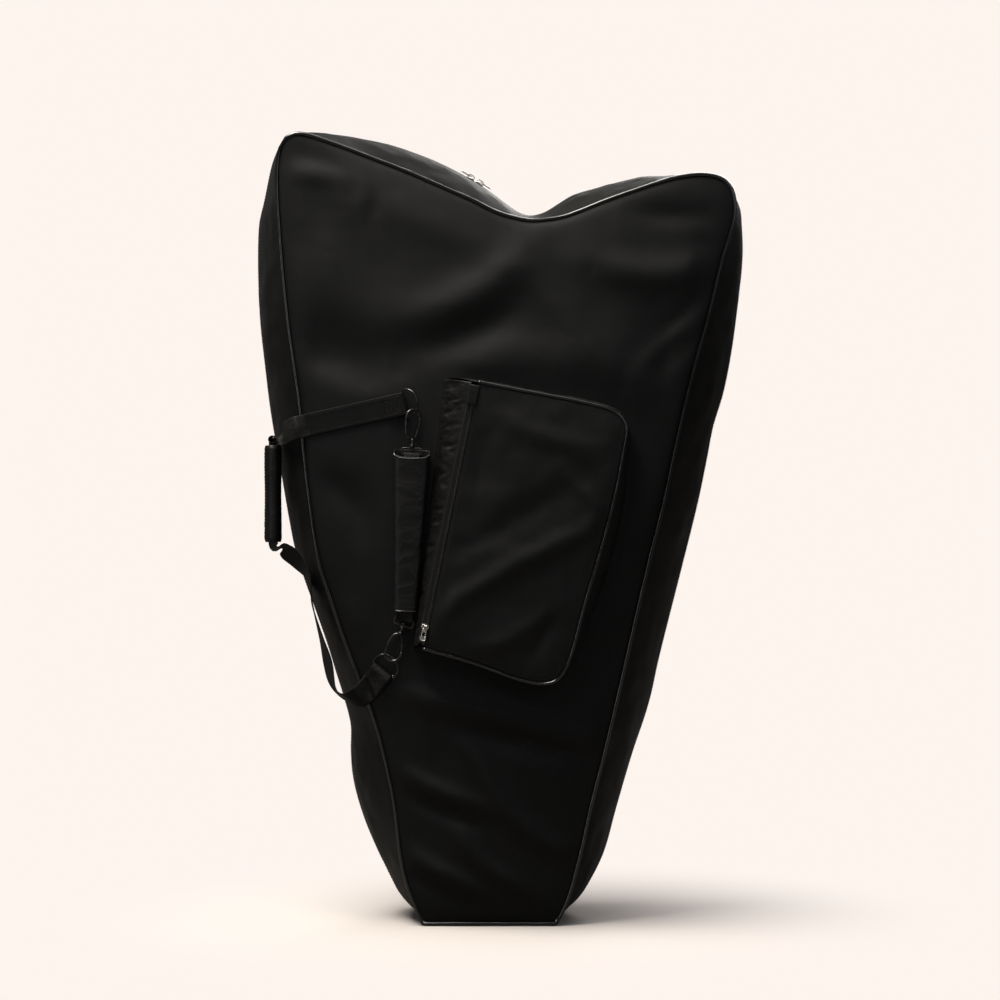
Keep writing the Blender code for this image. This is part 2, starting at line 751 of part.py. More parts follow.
def pocket():
    up = pocket_up_cells
    across = pocket_across_cells
    top = even(on_pocket(pocket_top_shares), across)
    right = even(on_pocket(pocket_right_shares), up)
    low = even(on_pocket(pocket_base_shares), across)
    zip_low, zip_top = low[0], top[0]
    left = [zip_low.lerp(zip_top, k / up) for k in range(up + 1)]
    route = top[:-1] + right[:-1] + low[::-1]

    edge = pocket_piping_radius + running_gap
    inset = offset(left[:-1] + route[:-1], edge, closed=True)
    sides = (inset[:up + 1], inset[up:up + across + 1], inset[up + across:2 * up + across + 1][::-1],
             (inset[2 * up + across:] + [inset[0]])[::-1])
    face = layer(blend_sides(*sides), -pocket_plane, pocket_crown, pocket_face_thickness, -1)
    add("pocket_face", face, "cloth", "front_half")
    piping = [deep(p, pocket_plane) for p in route]
    piping[0] = piping[0] + (piping[1] - piping[0]).normalized() * edge
    piping[-1] = piping[-1] + (piping[-2] - piping[-1]).normalized() * edge
    add("pocket_piping", tube(piping, pocket_piping_radius, roundness=1), "piping", "front_half", smooth=True)

    zip_way = (zip_top - zip_low).normalized()
    zip_out = Vector((-zip_way.y, zip_way.x))
    beside = zip_out * (pocket_tape_width - edge)
    root_low, root_top = on_pocket(pocket_root_shares)
    front = [zip_top + beside] + route[1:-1] + [zip_low + beside]
    near = offset(route, -pocket_flare)
    wide = offset(route, -pocket_flare - pocket_right_flare)
    spread = [0.0] * across + [math.sin(math.pi * k / up) for k in range(up + 1)] + [0.0] * across
    foot = [p.lerp(q, share) for p, q, share in zip(near, wide, spread)]
    back = [root_top] + foot[1:-1] + [root_low]
    walls = pocket_wall(front, back, pocket_plane + edge)
    add("pocket_wall_top", cut_strip(walls, 0, across), "cloth", "front_half")
    add("pocket_wall_right", cut_strip(walls, across, across + up), "cloth", "front_half")
    add("pocket_wall_base", cut_strip(walls, across + up, 2 * across + up), "cloth", "front_half")

    short = zip_way * (pocket_wall_thickness + edge + running_gap)
    front = [zip_low + beside + short, zip_top + beside - short]
    back = [root_low + short, root_top - short]
    front, back = [[a.lerp(b, k / up) for k in range(up + 1)] for a, b in (front, back)]
    spine = pocket_wall(front, back, pocket_plane + tape_thickness + running_gap)
    add("pocket_spine", slab(*spine), "leather", "front_half")
    pocket_zip(zip_low, zip_way, zip_out, (zip_top - zip_low).length, edge)


def pocket_wall(front, back, front_y):
    lines = []
    for inset in (0, pocket_wall_thickness):
        lines.append([[deep(a, front_y), on_panel(b, seat_gap)]
                      for a, b in zip(offset(front, inset), offset(back, inset))])
    return lines


def strip(start, way, side, length, offsets, depths):
    # A straight bar along a zip, from one side offset to the other and between two depths
    grid = []
    for y in depths:
        grid.append([[deep(start + way * reach + side * out, y) for out in offsets] for reach in (0, length)])
    return slab(*grid)


def pocket_zip(low, way, out, length, edge):
    y = pocket_plane
    margin = edge + running_gap + pocket_wall_thickness
    start = low + way * margin
    run = length - 2 * margin
    near = -(edge - running_gap)
    far = pocket_tape_width - edge - running_gap
    middle = (near + far) / 2
    tape = strip(start, way, out, run, (near, far), (y, y + tape_thickness))
    add("pocket_zip_tape", tape, "tape", "front_half")
    half = pocket_teeth_width / 2
    teeth_face = y - running_gap - pocket_teeth_thickness
    teeth = strip(start, way, out, run, (middle - half, middle + half), (teeth_face, y - running_gap))
    add("pocket_zip_teeth", teeth, "teeth", "front_half")
    patch_face = teeth_face - running_gap - pocket_patch_thickness
    patch_start = start + way * (run - pocket_patch_length)
    patch_half = pocket_patch_width / 2
    patch = strip(patch_start, way, out, pocket_patch_length, (middle - patch_half, middle + patch_half),
                  (patch_face, teeth_face - running_gap))
    add("pocket_zip_patch", patch, "leather", "front_half")

    seat = start + way * (pocket_slider_start + slider_length / 2) + out * middle
    origin = deep(seat, teeth_face - slider_clearance)
    along = deep(way, 0)
    up = Vector((0, -1, 0))
    spot = frame_at(origin, along, up.cross(along), up)
    body("pocket_slider", origin, along, "front_half")
    add("pocket_slider", slider_mesh(spot), "nickel", "pocket_slider")
    body("pocket_pull", spot @ Vector((0, 0, pull_bar_height)), spot.col[1].xyz, "pocket_slider")
    add("pocket_pull", pull_mesh(spot, -1), "nickel", "pocket_pull")


pocket()


# D-rings on folded webbing

def ring_path():
    half = ring_height / 2
    spots = [Vector((0, 0, -half)), Vector((0, 0, half)), Vector((ring_straight / 2, 0, half))]
    turns = 10
    for k in range(turns + 1):
        a = math.pi / 2 - math.pi * k / turns
        spots.append(Vector((ring_straight + (ring_reach - ring_straight) * math.cos(a), 0,
                             half * math.sin(a))))
    spots.append(Vector((ring_straight / 2, 0, -half)))
    return spots


def laid_row(centre, side):
    return [[on_panel(centre + side * (webbing_width * share), lift) for share in row_shares]
            for lift in (leg_lift, leg_lift + webbing_thickness)]


def free_row(point, way, side):
    side = (side - way * side.dot(way)).normalized()
    lift = way.cross(side) * (webbing_thickness / 2)
    spots = [point + side * (webbing_width * share) for share in row_shares]
    return [p - lift for p in spots], [p + lift for p in spots]


def leg_line(root, bar, lean):
    # The webbing's direction, and its width turned so that the root's edge runs along the lean
    way = (bar - root).normalized()
    square = Vector((-way.y, way.x))
    return way, square, lean.dot(way) / lean.dot(square)


def leg(label, root_share, bar_share, swing, lean):
    # Webbing sewn to the panel and folded round a D-ring's bar; returns the ring's frame
    root = cover_point(root_share)
    bar = cover_point(bar_share)
    way, square, skew = leg_line(root, bar, lean)
    thickness = webbing_thickness
    loop_radius = ring_wire_radius + running_gap + thickness / 2
    reach = webbing_width / 2
    seat = on_panel(bar, leg_lift + thickness / 2)
    across = (on_panel(bar + square * reach, 0) - on_panel(bar - square * reach, 0)).normalized()
    along = on_panel(bar, 0) - on_panel(bar - way * reach, 0)
    along = (along - across * along.dot(across)).normalized()
    out = along.cross(across)
    centre = seat + out * loop_radius

    count = max(3, round((bar - root).length / webbing_width * 3))
    spots = [(root.lerp(bar, k / count), square + way * (skew * (1 - k / count))) for k in range(count)]
    rows = [laid_row(*spot) for spot in spots]
    for k in range(7):
        a = math.pi * (k / 6 - 0.5)
        wrap = along * math.cos(a) + out * math.sin(a)
        rows.append([[centre + across * (webbing_width * share) + wrap * radius for share in row_shares]
                     for radius in (loop_radius + thickness / 2, loop_radius - thickness / 2)])
    folds = max(1, round(fold_length / (bar - root).length * count) - 1)
    for k in range(1, folds + 1):
        near, far = laid_row(*spots[count - k])
        share = k / folds
        lift = thickness + soft_gap + (2 * loop_radius - thickness - soft_gap) * (1 - share)
        step = Vector((0, -lift, 0))
        rows.append([[p + step for p in far], [p + step for p in near]])
    legs = slab([row[0] for row in rows], [row[1] for row in rows])
    add("handle_leg_" + label, legs, "webbing", "front_half")

    ring_name = "d_ring_" + label
    body(ring_name, centre, -across, "front_half")
    swung = along * math.cos(math.radians(swing)) + out * math.sin(math.radians(swing))
    spot = frame_at(centre, swung, across.cross(swung), across)
    ring = tube([spot @ p for p in ring_path()], ring_wire_radius, closed=True, roundness=2)
    add(ring_name, ring, "gunmetal", ring_name, smooth=True)
    return spot


handle_lean = (cover_point(upper_root_share) - cover_point(lower_root_share)).normalized()
upper_ring = leg("upper", upper_root_share, upper_bar_share, upper_ring_swing, handle_lean)
lower_ring = leg("lower", lower_root_share, lower_bar_share, lower_ring_swing, handle_lean)


# Carry handle: free webbing through a wrapped grip

def on_sides(share):
    return Vector((share[0] * cover_width, share[1] * cover_depth, seam_height + share[2] * cover_height))


def webbing_rows(points, sides, root_share, bar_share):
    # Free webbing that ends edge to edge with the sewn leg at its root
    root = cover_point(root_share)
    way, square, skew = leg_line(root, cover_point(bar_share), handle_lean)
    end = laid_row(root - way * seat_gap, square + way * skew)
    points = points + [(end[0][2] + end[1][2]) / 2]
    rows = []
    for i in range(len(points) - 1):
        heading = (points[i + 1] - points[max(i - 1, 0)]).normalized()
        rows.append(free_row(points[i], heading, sides[i]))
    rows.append(end)
    return slab([row[0] for row in rows], [row[1] for row in rows])


def handle():
    hinge_lift = leg_lift + webbing_thickness + handle_hinge_rise
    pivot = on_panel(cover_point(upper_root_share), hinge_lift)
    foot = on_panel(cover_point(lower_root_share), hinge_lift)
    body("handle", pivot, (pivot - foot).normalized(), "front_half")

    grip = on_sides(grip_centre_share)
    band_points = [on_sides(place) for place, side in handle_band_shares]
    band_sides = [Vector(side) for place, side in handle_band_shares]
    band = webbing_rows(band_points, band_sides, upper_root_share, upper_bar_share)
    low_points = [on_sides(place) for place, side in handle_lower_shares]
    low_sides = [Vector(side) for place, side in handle_lower_shares]
    top = Vector((grip.x, grip.y, band_points[0].z + band_lap))
    bottom = grip - Vector((0, 0, grip_length / 2 + grip_end_gap))
    upright = webbing_rows([top, bottom] + low_points, [low_sides[0]] * 2 + low_sides,
                           lower_root_share, lower_bar_share)
    add("handle_webbing", combined(upright, [band], "UNION"), "webbing", "handle")

    stand = Matrix.Translation(grip - Vector((0, 0, grip_length / 2)))
    core_width = grip_half_width - grip_skin - running_gap
    core_depth = grip_half_depth - grip_skin - running_gap
    slot = [(s * (webbing_thickness / 2 + running_gap), t * (webbing_width / 2 + running_gap))
            for s, t in ((1, 0), (1, 0.5), (1, 1), (0, 1), (-1, 1), (-1, 0.5), (-1, 0), (-1, -0.5),
                         (-1, -1), (0, -1), (1, -1), (1, -0.5))]
    core = ring_plate(oval(core_width, core_depth), slot, grip_length)
    add("grip_core", moved(core, stand), "foam", "handle")
    skin = ring_plate(oval(grip_half_width, grip_half_depth),
                      oval(grip_half_width - grip_skin, grip_half_depth - grip_skin), grip_length)
    add("grip_wrap", moved(skin, stand), "leather", "handle", smooth=True)


handle()


# Snap hook in a frame with Z along the strap away from the ring and X across the bow

def bow_path(top):
    reach = bow_radius
    crown = top + reach
    path = [Vector((reach * x, 0, bow_length * z)) for x, z in bow_neck_shares]
    path.append(Vector((reach, 0, crown + reach * bow_straight_share)))
    turns = 8
    for k in range(turns + 1):
        a = math.pi * k / turns
        path.append(Vector((reach * math.cos(a), 0, crown - reach * math.sin(a))))
    return path + [Vector((-reach, 0, crown + reach * bow_tip_share))]


def hook(spot, label, top):
    # Returns how far along the strap the hook's shank ends
    bow = bow_path(top)
    tip = bow[-1]
    shank_top = bow_length - bow_wire_radius / 2
    shank_foot = bow_length + shank_length
    head = shank_foot + running_gap * 2 + eye_bar
    profile = [(0, shank_top), (shank_radius * 0.8, shank_top), (shank_radius, shank_top + shank_radius / 3),
               (shank_radius * 0.75, (shank_top + shank_foot) / 2), (shank_radius, shank_foot),
               (pin_radius, shank_foot), (pin_radius, head), (pin_head_radius, head),
               (pin_head_radius, head + pin_head_thickness), (0, head + pin_head_thickness)]
    hook_mesh = combined(tube(bow, bow_wire_radius, roundness=1), [turned(profile)], "UNION")
    name = "snap_hook_" + label
    body(name, spot @ Vector((0, 0, shank_foot)), spot.col[2].xyz, "strap")
    add(name, moved(hook_mesh, spot), "gunmetal", name, smooth=True)

    gate_foot = Vector((-shank_radius, 0, shank_top - gate_radius - running_gap * 2))
    gate_top = tip + (gate_foot - tip).normalized() * (running_gap * 2)
    count = 3
    gate = tube([gate_top.lerp(gate_foot, k / count) for k in range(count + 1)], gate_radius, roundness=1)
    gate_name = "hook_gate_" + label
    body(gate_name, spot @ gate_foot, -spot.col[1].xyz, name)
    add(gate_name, moved(gate, spot), "gunmetal", gate_name, smooth=True)
    return shank_foot + running_gap


def eye(spot, label, foot):
    # A frame for the strap, with a bore in its upper bar for the hook's pin
    outline = rounded(eye_width / 2, eye_height / 2, eye_bar / 2)
    window = rounded(eye_width / 2 - eye_bar, eye_height / 2 - eye_bar, eye_bar / 3)
    stood = Matrix.Translation((0, eye_thickness / 2, foot + eye_height / 2)) @ Matrix.Rotation(math.pi / 2, 4, "X")
    bore_radius = pin_radius + running_gap
    bore = turned([(0, foot - eye_bar / 2), (bore_radius, foot - eye_bar / 2),
                   (bore_radius, foot + eye_bar * 1.5), (0, foot + eye_bar * 1.5)])
    frame = combined(moved(ring_plate(outline, window, eye_thickness), stood), [bore], "DIFFERENCE")
    add("strap_eye_" + label, moved(frame, spot), "gunmetal", "strap")
    return foot + eye_height - eye_bar / 2


# Strap with its pad, hung from the upper ring

def close_points(points, spacing):
    spots = []
    for a, b in zip(points, points[1:]):
        count = max(1, round((b - a).length / spacing))
        spots += [a.lerp(b, k / count) for k in range(count)]
    return spots + [points[-1]]


def hang_top(spots, wire):
    # How far above the ring's wire the bow's top must stand to clear it in every given frame
    spacing = ring_wire_radius / 4
    wire_points = close_points(wire, spacing)
    need = ring_wire_radius + bow_wire_radius + bow_hang_gap
    top = -need
    for step in range(24):
        bow = close_points(bow_path(top)[4:], spacing)
        if all((spot @ p - q).length >= need for spot in spots for p in bow for q in wire_points):
            break
        top -= bow_hang_gap / 2
    return top


def strap():
    span = ring_reach - ring_straight
    share = (hang_reach - ring_straight) / span
    half = ring_height / 2
    drop = math.sqrt(1 - share ** 2)
    hang = upper_ring @ Vector((hang_reach, 0, -half * drop))
    wire_way = upper_ring.to_3x3() @ Vector((1, 0, half * share / (span * drop))).normalized()
    root_low, root_top = on_pocket(pocket_root_shares)
    level = cover_point((0, pad_end_height_share)).y
    spine = root_low.lerp(root_top, (level - root_low.y) / (root_top.y - root_low.y))
    beside = Vector((spine.x - eye_width / 2 - strap_spine_gap, level))
    end = on_panel(beside, pad_end_half_depth + pad_standoff)
    down = (end - hang).normalized()
    lateral = down.cross(Vector((0, -1, 0))).normalized()
    upright = frame_at(hang, lateral, down.cross(lateral), down)
    body("strap", hang, -wire_way, "front_half")

    wire = [upper_ring @ p for p in ring_path()]
    turned_spots = [upright @ Matrix.Rotation(math.radians(turn), 4, "Z")
                    for turn in (hook_turn, hook_turn - hook_play, hook_turn + hook_play)]
    upper_spot = turned_spots[0]
    top = hang_top(turned_spots, wire)
    upper_bar_reach = eye(upright, "upper", hook(upper_spot, "upper", top))

    lower_bar_reach = pad_start + pad_length + eye_height / 2 + pad_travel
    bar = upright @ Vector((0, 0, lower_bar_reach))
    stand = ring_wire_radius + bow_wire_radius + park_gap
    catch = lower_ring @ Vector((ring_reach, -stand, 0))
    lower_down = (catch - bar).normalized()
    lower_lateral = lower_down.cross(Vector((0, -1, 0))).normalized()
    back_reach = bow_length + shank_length + running_gap + eye_height - eye_bar / 2
    lower_spot = frame_at(bar + lower_down * back_reach, lower_lateral,
                          (-lower_down).cross(lower_lateral), -lower_down)
    eye(lower_spot, "lower", hook(lower_spot, "lower", -stand))

    turn_radius = math.hypot(eye_thickness, eye_bar) / 2 + running_gap + strap_webbing_thickness / 2
    lower_frame = frame_at(bar, lower_lateral, lower_down.cross(lower_lateral), lower_down)
    steps = 6
    turn = [(turn_radius * math.cos(math.pi * k / steps), turn_radius * math.sin(math.pi * k / steps))
            for k in range(steps + 1)]
    points = [upright @ Vector((0, turn_radius, upper_bar_reach + strap_tail))]
    points += [upright @ Vector((0, y, upper_bar_reach - z)) for y, z in turn]
    points += [lower_frame @ Vector((0, -y, z)) for y, z in turn]
    points.append(upright @ Vector((0, turn_radius, lower_bar_reach - strap_tail)))
    sides = [lateral] * (steps + 2) + [lower_lateral] * (steps + 1) + [lateral]
    webbing = ribbon(points, sides, strap_webbing_width, strap_webbing_thickness)
    add("strap_webbing", webbing, "webbing", "strap")

    body("strap_pad", hang, down, "strap")
    skin = [pad_rings(upright, 0, 1, inset) for inset in (0, pad_wall)]
    add("strap_pad", slab(*skin, closed=True), "leather", "strap_pad", smooth=True)
    foam_front = -(turn_radius - strap_webbing_thickness / 2 - running_gap)
    room = strap_tail + pad_travel + soft_gap
    first = (upper_bar_reach + room - pad_start) / pad_length
    last = (lower_bar_reach - room - pad_start) / pad_length
    loops = list(zip(*pad_rings(Matrix.Identity(4), first, last, pad_wall + running_gap)))
    foam = bmesh.new()
    rings = [[foam.verts.new(upright @ Vector((p.x, max(p.y, foam_front), p.z))) for p in loop] for loop in loops]
    for a, b in zip(rings, rings[1:]):
        for k in range(round_sides):
            n = (k + 1) % round_sides
            foam.faces.new((a[k], a[n], b[n], b[k]))
    foam.faces.new(rings[0])
    foam.faces.new(rings[-1])
    bmesh.ops.recalc_face_normals(foam, faces=foam.faces)
    add("strap_foam", foam, "foam", "strap_pad")


def pad_rings(spot, first, last, inset):
    # Points round the pad's section and along it, between two shares of its length
    stations = 4
    loops = []
    for k in range(stations + 1):
        share = first + (last - first) * k / stations
        half_width = pad_top_half_width + (pad_end_half_width - pad_top_half_width) * share - inset
        half_thick = pad_top_half_depth + (pad_end_half_depth - pad_top_half_depth) * share - inset
        reach = pad_start + pad_length * share
        squared = [(math.copysign(abs(x) ** pad_squareness, x), math.copysign(abs(y) ** pad_squareness, y))
                   for x, y in oval(1, 1)]
        loops.append([spot @ Vector((x * half_width, y * half_thick, reach)) for x, y in squared])
    return [list(column) for column in zip(*loops)]


strap()
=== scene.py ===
# Looks of the padded harp cover: cloth with its folds, corded seams, zips, pocket, handle and strap.
# Metres, Z up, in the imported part's own frame.

import json
import math

import bpy
import bmesh
import numpy as np
from mathutils import Vector, Matrix, noise
from mathutils.bvhtree import BVHTree


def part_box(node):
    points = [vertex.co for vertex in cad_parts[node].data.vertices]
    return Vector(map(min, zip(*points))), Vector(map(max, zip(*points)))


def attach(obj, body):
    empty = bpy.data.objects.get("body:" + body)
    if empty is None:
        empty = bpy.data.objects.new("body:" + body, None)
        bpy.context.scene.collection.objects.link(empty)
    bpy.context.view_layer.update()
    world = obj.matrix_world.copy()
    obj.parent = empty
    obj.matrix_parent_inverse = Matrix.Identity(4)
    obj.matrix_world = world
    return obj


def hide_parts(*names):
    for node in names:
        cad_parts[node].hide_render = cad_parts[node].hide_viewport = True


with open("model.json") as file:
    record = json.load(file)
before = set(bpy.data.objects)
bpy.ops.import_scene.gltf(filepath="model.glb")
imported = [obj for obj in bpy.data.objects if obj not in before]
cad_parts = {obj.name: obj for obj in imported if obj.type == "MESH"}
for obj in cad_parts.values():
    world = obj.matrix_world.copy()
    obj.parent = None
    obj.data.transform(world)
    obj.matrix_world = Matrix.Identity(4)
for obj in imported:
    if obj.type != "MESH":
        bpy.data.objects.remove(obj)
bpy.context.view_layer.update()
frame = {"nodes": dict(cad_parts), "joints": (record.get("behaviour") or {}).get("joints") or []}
joints = {joint["name"]: joint for joint in frame["joints"]}
scene = bpy.context.scene

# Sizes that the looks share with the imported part

cover = {"width": 0.720, "height": 1.190, "halfDepth": 0.120, "seamHeight": 0.0035, "crown": 0.028,
         "crownPower": 0.6, "neckRise": 0.0316, "piping": 0.0030, "cloth": 0.0015, "foam": 0.0080,
         "lining": 0.0012, "padding": 0.0060, "gap": 0.0003, "tapeHalf": 0.0160, "teethHalf": 0.0030}
pocketSize = {"centre": (0.0625, 0.494), "width": 0.303, "height": 0.447, "depth": 0.040,
              "crown": 0.006, "wall": 0.0025, "flare": 0.0040, "rightFlare": 0.0180, "piping": 0.0025,
              "tape": 0.0120}
places = {"upperBar": (-0.190, 0.655), "upperRoot": (-0.388, 0.629), "lowerBar": (-0.233, 0.320),
          "lowerRoot": (-0.260, 0.299), "padEnd": (-0.1855, 0.392)}

# Outlines, in shares of the cover's width and height

seamLeftShares = [
    (-0.150, 0.0), (-0.169, 0.026), (-0.183, 0.049), (-0.196, 0.082), (-0.210, 0.151),
    (-0.227, 0.202), (-0.248, 0.251), (-0.277, 0.299), (-0.312, 0.355), (-0.344, 0.412),
    (-0.367, 0.456), (-0.383, 0.513), (-0.398, 0.587), (-0.406, 0.645), (-0.419, 0.702),
    (-0.431, 0.753), (-0.442, 0.816), (-0.448, 0.861), (-0.454, 0.916), (-0.454, 0.961),
    (-0.444, 0.988)]
seamNeckLeftShares = [
    (-0.444, 0.988), (-0.408, 0.997), (-0.331, 0.983), (-0.248, 0.964), (-0.196, 0.952),
    (-0.123, 0.933), (-0.048, 0.913), (0.010, 0.896), (0.073, 0.886)]
seamNeckRightShares = [
    (0.073, 0.886), (0.135, 0.891), (0.175, 0.899), (0.233, 0.913), (0.294, 0.926),
    (0.367, 0.940), (0.427, 0.945), (0.470, 0.941), (0.496, 0.930)]
seamRightShares = [
    (0.496, 0.930), (0.501, 0.901), (0.490, 0.870), (0.472, 0.834), (0.445, 0.766),
    (0.427, 0.727), (0.406, 0.679), (0.381, 0.614), (0.352, 0.532), (0.323, 0.463),
    (0.296, 0.393), (0.265, 0.311), (0.231, 0.223), (0.200, 0.149), (0.181, 0.097),
    (0.160, 0.047), (0.144, 0.020), (0.127, 0.0)]
crestLeftShares = [
    (-0.150, 0.0), (-0.177, 0.011), (-0.206, 0.030), (-0.240, 0.069), (-0.271, 0.110),
    (-0.292, 0.147), (-0.304, 0.179), (-0.308, 0.211), (-0.308, 0.245), (-0.323, 0.280),
    (-0.340, 0.313), (-0.356, 0.345), (-0.383, 0.392), (-0.408, 0.434), (-0.429, 0.476),
    (-0.456, 0.567), (-0.479, 0.648), (-0.492, 0.712), (-0.502, 0.769), (-0.506, 0.837),
    (-0.504, 0.889), (-0.494, 0.916), (-0.477, 0.964), (-0.456, 0.996)]
crestArcShares = [(-0.421, 1.006), (0.032, 0.912)]
crestNotchShares = [(0.053, 0.904), (0.071, 0.899)]
crestNeckRightShares = [
    (0.071, 0.899), (0.102, 0.904), (0.144, 0.920), (0.171, 0.929), (0.217, 0.937),
    (0.279, 0.947), (0.323, 0.951), (0.406, 0.951), (0.458, 0.947), (0.500, 0.933)]
crestRightShares = [
    (0.500, 0.933), (0.521, 0.906), (0.527, 0.872), (0.527, 0.843), (0.523, 0.816),
    (0.517, 0.783), (0.504, 0.725), (0.487, 0.673), (0.465, 0.629), (0.450, 0.582),
    (0.425, 0.512), (0.354, 0.342), (0.327, 0.271), (0.292, 0.207), (0.258, 0.137),
    (0.233, 0.082), (0.202, 0.043), (0.169, 0.016), (0.127, 0.0)]
pocketTopShares = [(-0.233, 0.500), (-0.035, 0.473), (0.257, 0.435), (0.431, 0.403), (0.500, 0.352)]
pocketRightShares = [
    (0.500, 0.352), (0.480, 0.272), (0.441, 0.134), (0.391, 0.0), (0.342, -0.117),
    (0.292, -0.228), (0.238, -0.369), (0.198, -0.446), (0.153, -0.493)]
pocketBaseShares = [
    (-0.500, -0.383), (-0.421, -0.399), (-0.327, -0.416), (-0.203, -0.443), (-0.059, -0.480),
    (0.064, -0.500), (0.153, -0.493)]
pocketRootShares = [(-0.550, -0.393), (-0.400, 0.517)]


# Curves and frames

def spline(points, steps=12):
    points = np.asarray(points, float)
    ends = np.vstack([points[:1] * 2 - points[1:2], points, points[-1:] * 2 - points[-2:-1]])
    t = (np.arange(steps) / steps)[:, None]
    dense = []
    for a, b, c, d in zip(ends, ends[1:], ends[2:], ends[3:]):
        dense.append(0.5 * (2 * b + (c - a) * t + (2 * a - 5 * b + 4 * c - d) * t ** 2
                            + (3 * b - a - 3 * c + d) * t ** 3))
    return np.vstack(dense + [points[-1:]])


def lengthsAlong(points):
    steps = np.linalg.norm(np.diff(points, axis=0), axis=1)
    return np.concatenate([[0.0], np.cumsum(steps)])


def resample(points, count):
    reach = lengthsAlong(points)
    want = np.linspace(0, reach[-1], count + 1)
    return np.stack([np.interp(want, reach, points[:, k]) for k in range(points.shape[1])], 1)


def evenly(points, count):
    return resample(spline(points), count)


def onCover(shares):
    return np.array([(x * cover["width"], cover["seamHeight"] + z * cover["height"]) for x, z in shares])


def inwardNormals(points, closed=False):
    # The outlines run up the left, across the top and down the right, so inward is to their right
    if closed:
        way = np.roll(points, -1, 0) - np.roll(points, 1, 0)
    else:
        way = np.gradient(points, axis=0)
    way /= np.linalg.norm(way, axis=1)[:, None]
    return np.stack([way[:, 1], -way[:, 0]], 1)


def inset(points, distance, closed=False):
    return points + inwardNormals(points, closed) * distance


def deep(points, y):
    y = np.broadcast_to(y, points.shape[:-1])
    return np.stack([points[..., 0], y, points[..., 1]], -1)


def frameAt(origin, along, across, up):
    spot = Matrix((along, across, up)).transposed().to_4x4()
    spot.translation = origin
    return spot


def smoothStep(x, low, high):
    t = np.clip((x - low) / (high - low), 0, 1)
    return t * t * (3 - 2 * t)


def wander(points, scale, seed=0.0, octaves=3):
    # Smooth noise at each point, about -1 to 1
    flat = points.reshape(-1, points.shape[-1])
    spots = [noise.fractal(Vector((*(p * scale), *([seed] * (3 - len(p))))) + Vector((seed, seed, 0)),
                           1.0, 2.0, octaves) for p in flat]
    return np.array(spots).reshape(points.shape[:-1])


def rounded(path, corners, reach=5, turns=2):
    # Eases the corners where two traced lines meet, as bent piping does
    place = np.arange(len(path))
    ease = np.max([np.clip(1 - np.abs(place - corner) / reach, 0, 1) for corner in corners], 0)
    ease[[0, -1]] = 0
    for turn in range(turns):
        middle = path.copy()
        middle[1:-1] = (path[:-2] + path[2:]) / 2
        path = path + (middle - path) * ease[:, None]
    return path


fine = 7
cells = {"side": 14 * fine, "neckLeft": 8 * fine, "neckRight": 6 * fine}
seamLeft = evenly(onCover(seamLeftShares), cells["side"])
seamNeck = np.vstack([evenly(onCover(seamNeckLeftShares), cells["neckLeft"]),
                      evenly(onCover(seamNeckRightShares), cells["neckRight"])[1:]])
seamRight = evenly(onCover(seamRightShares), cells["side"])
seamPath = np.vstack([seamLeft, seamNeck[1:], seamRight[1:]])
cornerLeft = cells["side"]
neckNotch = cells["side"] + cells["neckLeft"]
cornerRight = neckNotch + cells["neckRight"]
seamPath = rounded(rounded(seamPath, (cornerLeft,), turns=1), (neckNotch, cornerRight))
pathEnd = len(seamPath) - 1
baseCells = cells["neckLeft"] + cells["neckRight"]
seamBase = np.linspace(seamPath[-1], seamPath[0], baseCells + 1)
seamLoop = np.vstack([seamPath, seamBase[1:-1]])


def neckArc():
    start, end = onCover(crestArcShares)
    chord = end - start
    half = np.linalg.norm(chord) / 2
    radius = (half ** 2 + cover["neckRise"] ** 2) / (2 * cover["neckRise"])
    up = np.array([-chord[1], chord[0]]) / (2 * half)
    centre = start + chord / 2 - up * (radius - cover["neckRise"])
    first = math.atan2(*(start - centre)[::-1])
    sweep = 2 * math.asin(half / radius)
    turns = first - sweep * np.arange(9) / 8
    return centre + radius * np.stack([np.cos(turns), np.sin(turns)], 1), centre


arcPoints, arcCentre = neckArc()
crestLeftSpots = onCover(crestLeftShares)
crestNeckSpots = np.vstack([crestLeftSpots[-1:], arcPoints, onCover(crestNotchShares)])
crestPath = np.vstack([evenly(crestLeftSpots, cells["side"]),
                       evenly(crestNeckSpots, cells["neckLeft"])[1:],
                       evenly(onCover(crestNeckRightShares), cells["neckRight"])[1:],
                       evenly(onCover(crestRightShares), cells["side"])[1:]])
crestPath = rounded(crestPath, (cornerLeft, neckNotch, cornerRight))


picture = {"centre": 495, "floor": 927, "pixel": 0.0015}


def photoSpot(px, py):
    # A place on the front, from where it stands in the picture
    return np.array([(px - picture["centre"]) * picture["pixel"], (picture["floor"] - py) * picture["pixel"]])


# Materials

def colour(hexText, strength=1.0):
    parts = [int(hexText[k:k + 2], 16) / 255 for k in (0, 2, 4)]
    linear = [p / 12.92 if p <= 0.04045 else ((p + 0.055) / 1.055) ** 2.4 for p in parts]
    return (*[p * strength for p in linear], 1)


def addNode(tree, kind, settings=None, links=None):
    made = tree.nodes.new(kind)
    for key, value in (settings or {}).items():
        if isinstance(key, str) and hasattr(made, key):
            setattr(made, key, value)
        else:
            made.inputs[key].default_value = value
    for key, source in (links or {}).items():
        tree.links.new(source, made.inputs[key])
    return made


def newMaterial(name, settings):
    made = bpy.data.materials.new(name)
    made.use_nodes = True
    shader = made.node_tree.nodes["Principled BSDF"]
    for key, value in settings.items():
        shader.inputs[key].default_value = value
    return made, made.node_tree, shader


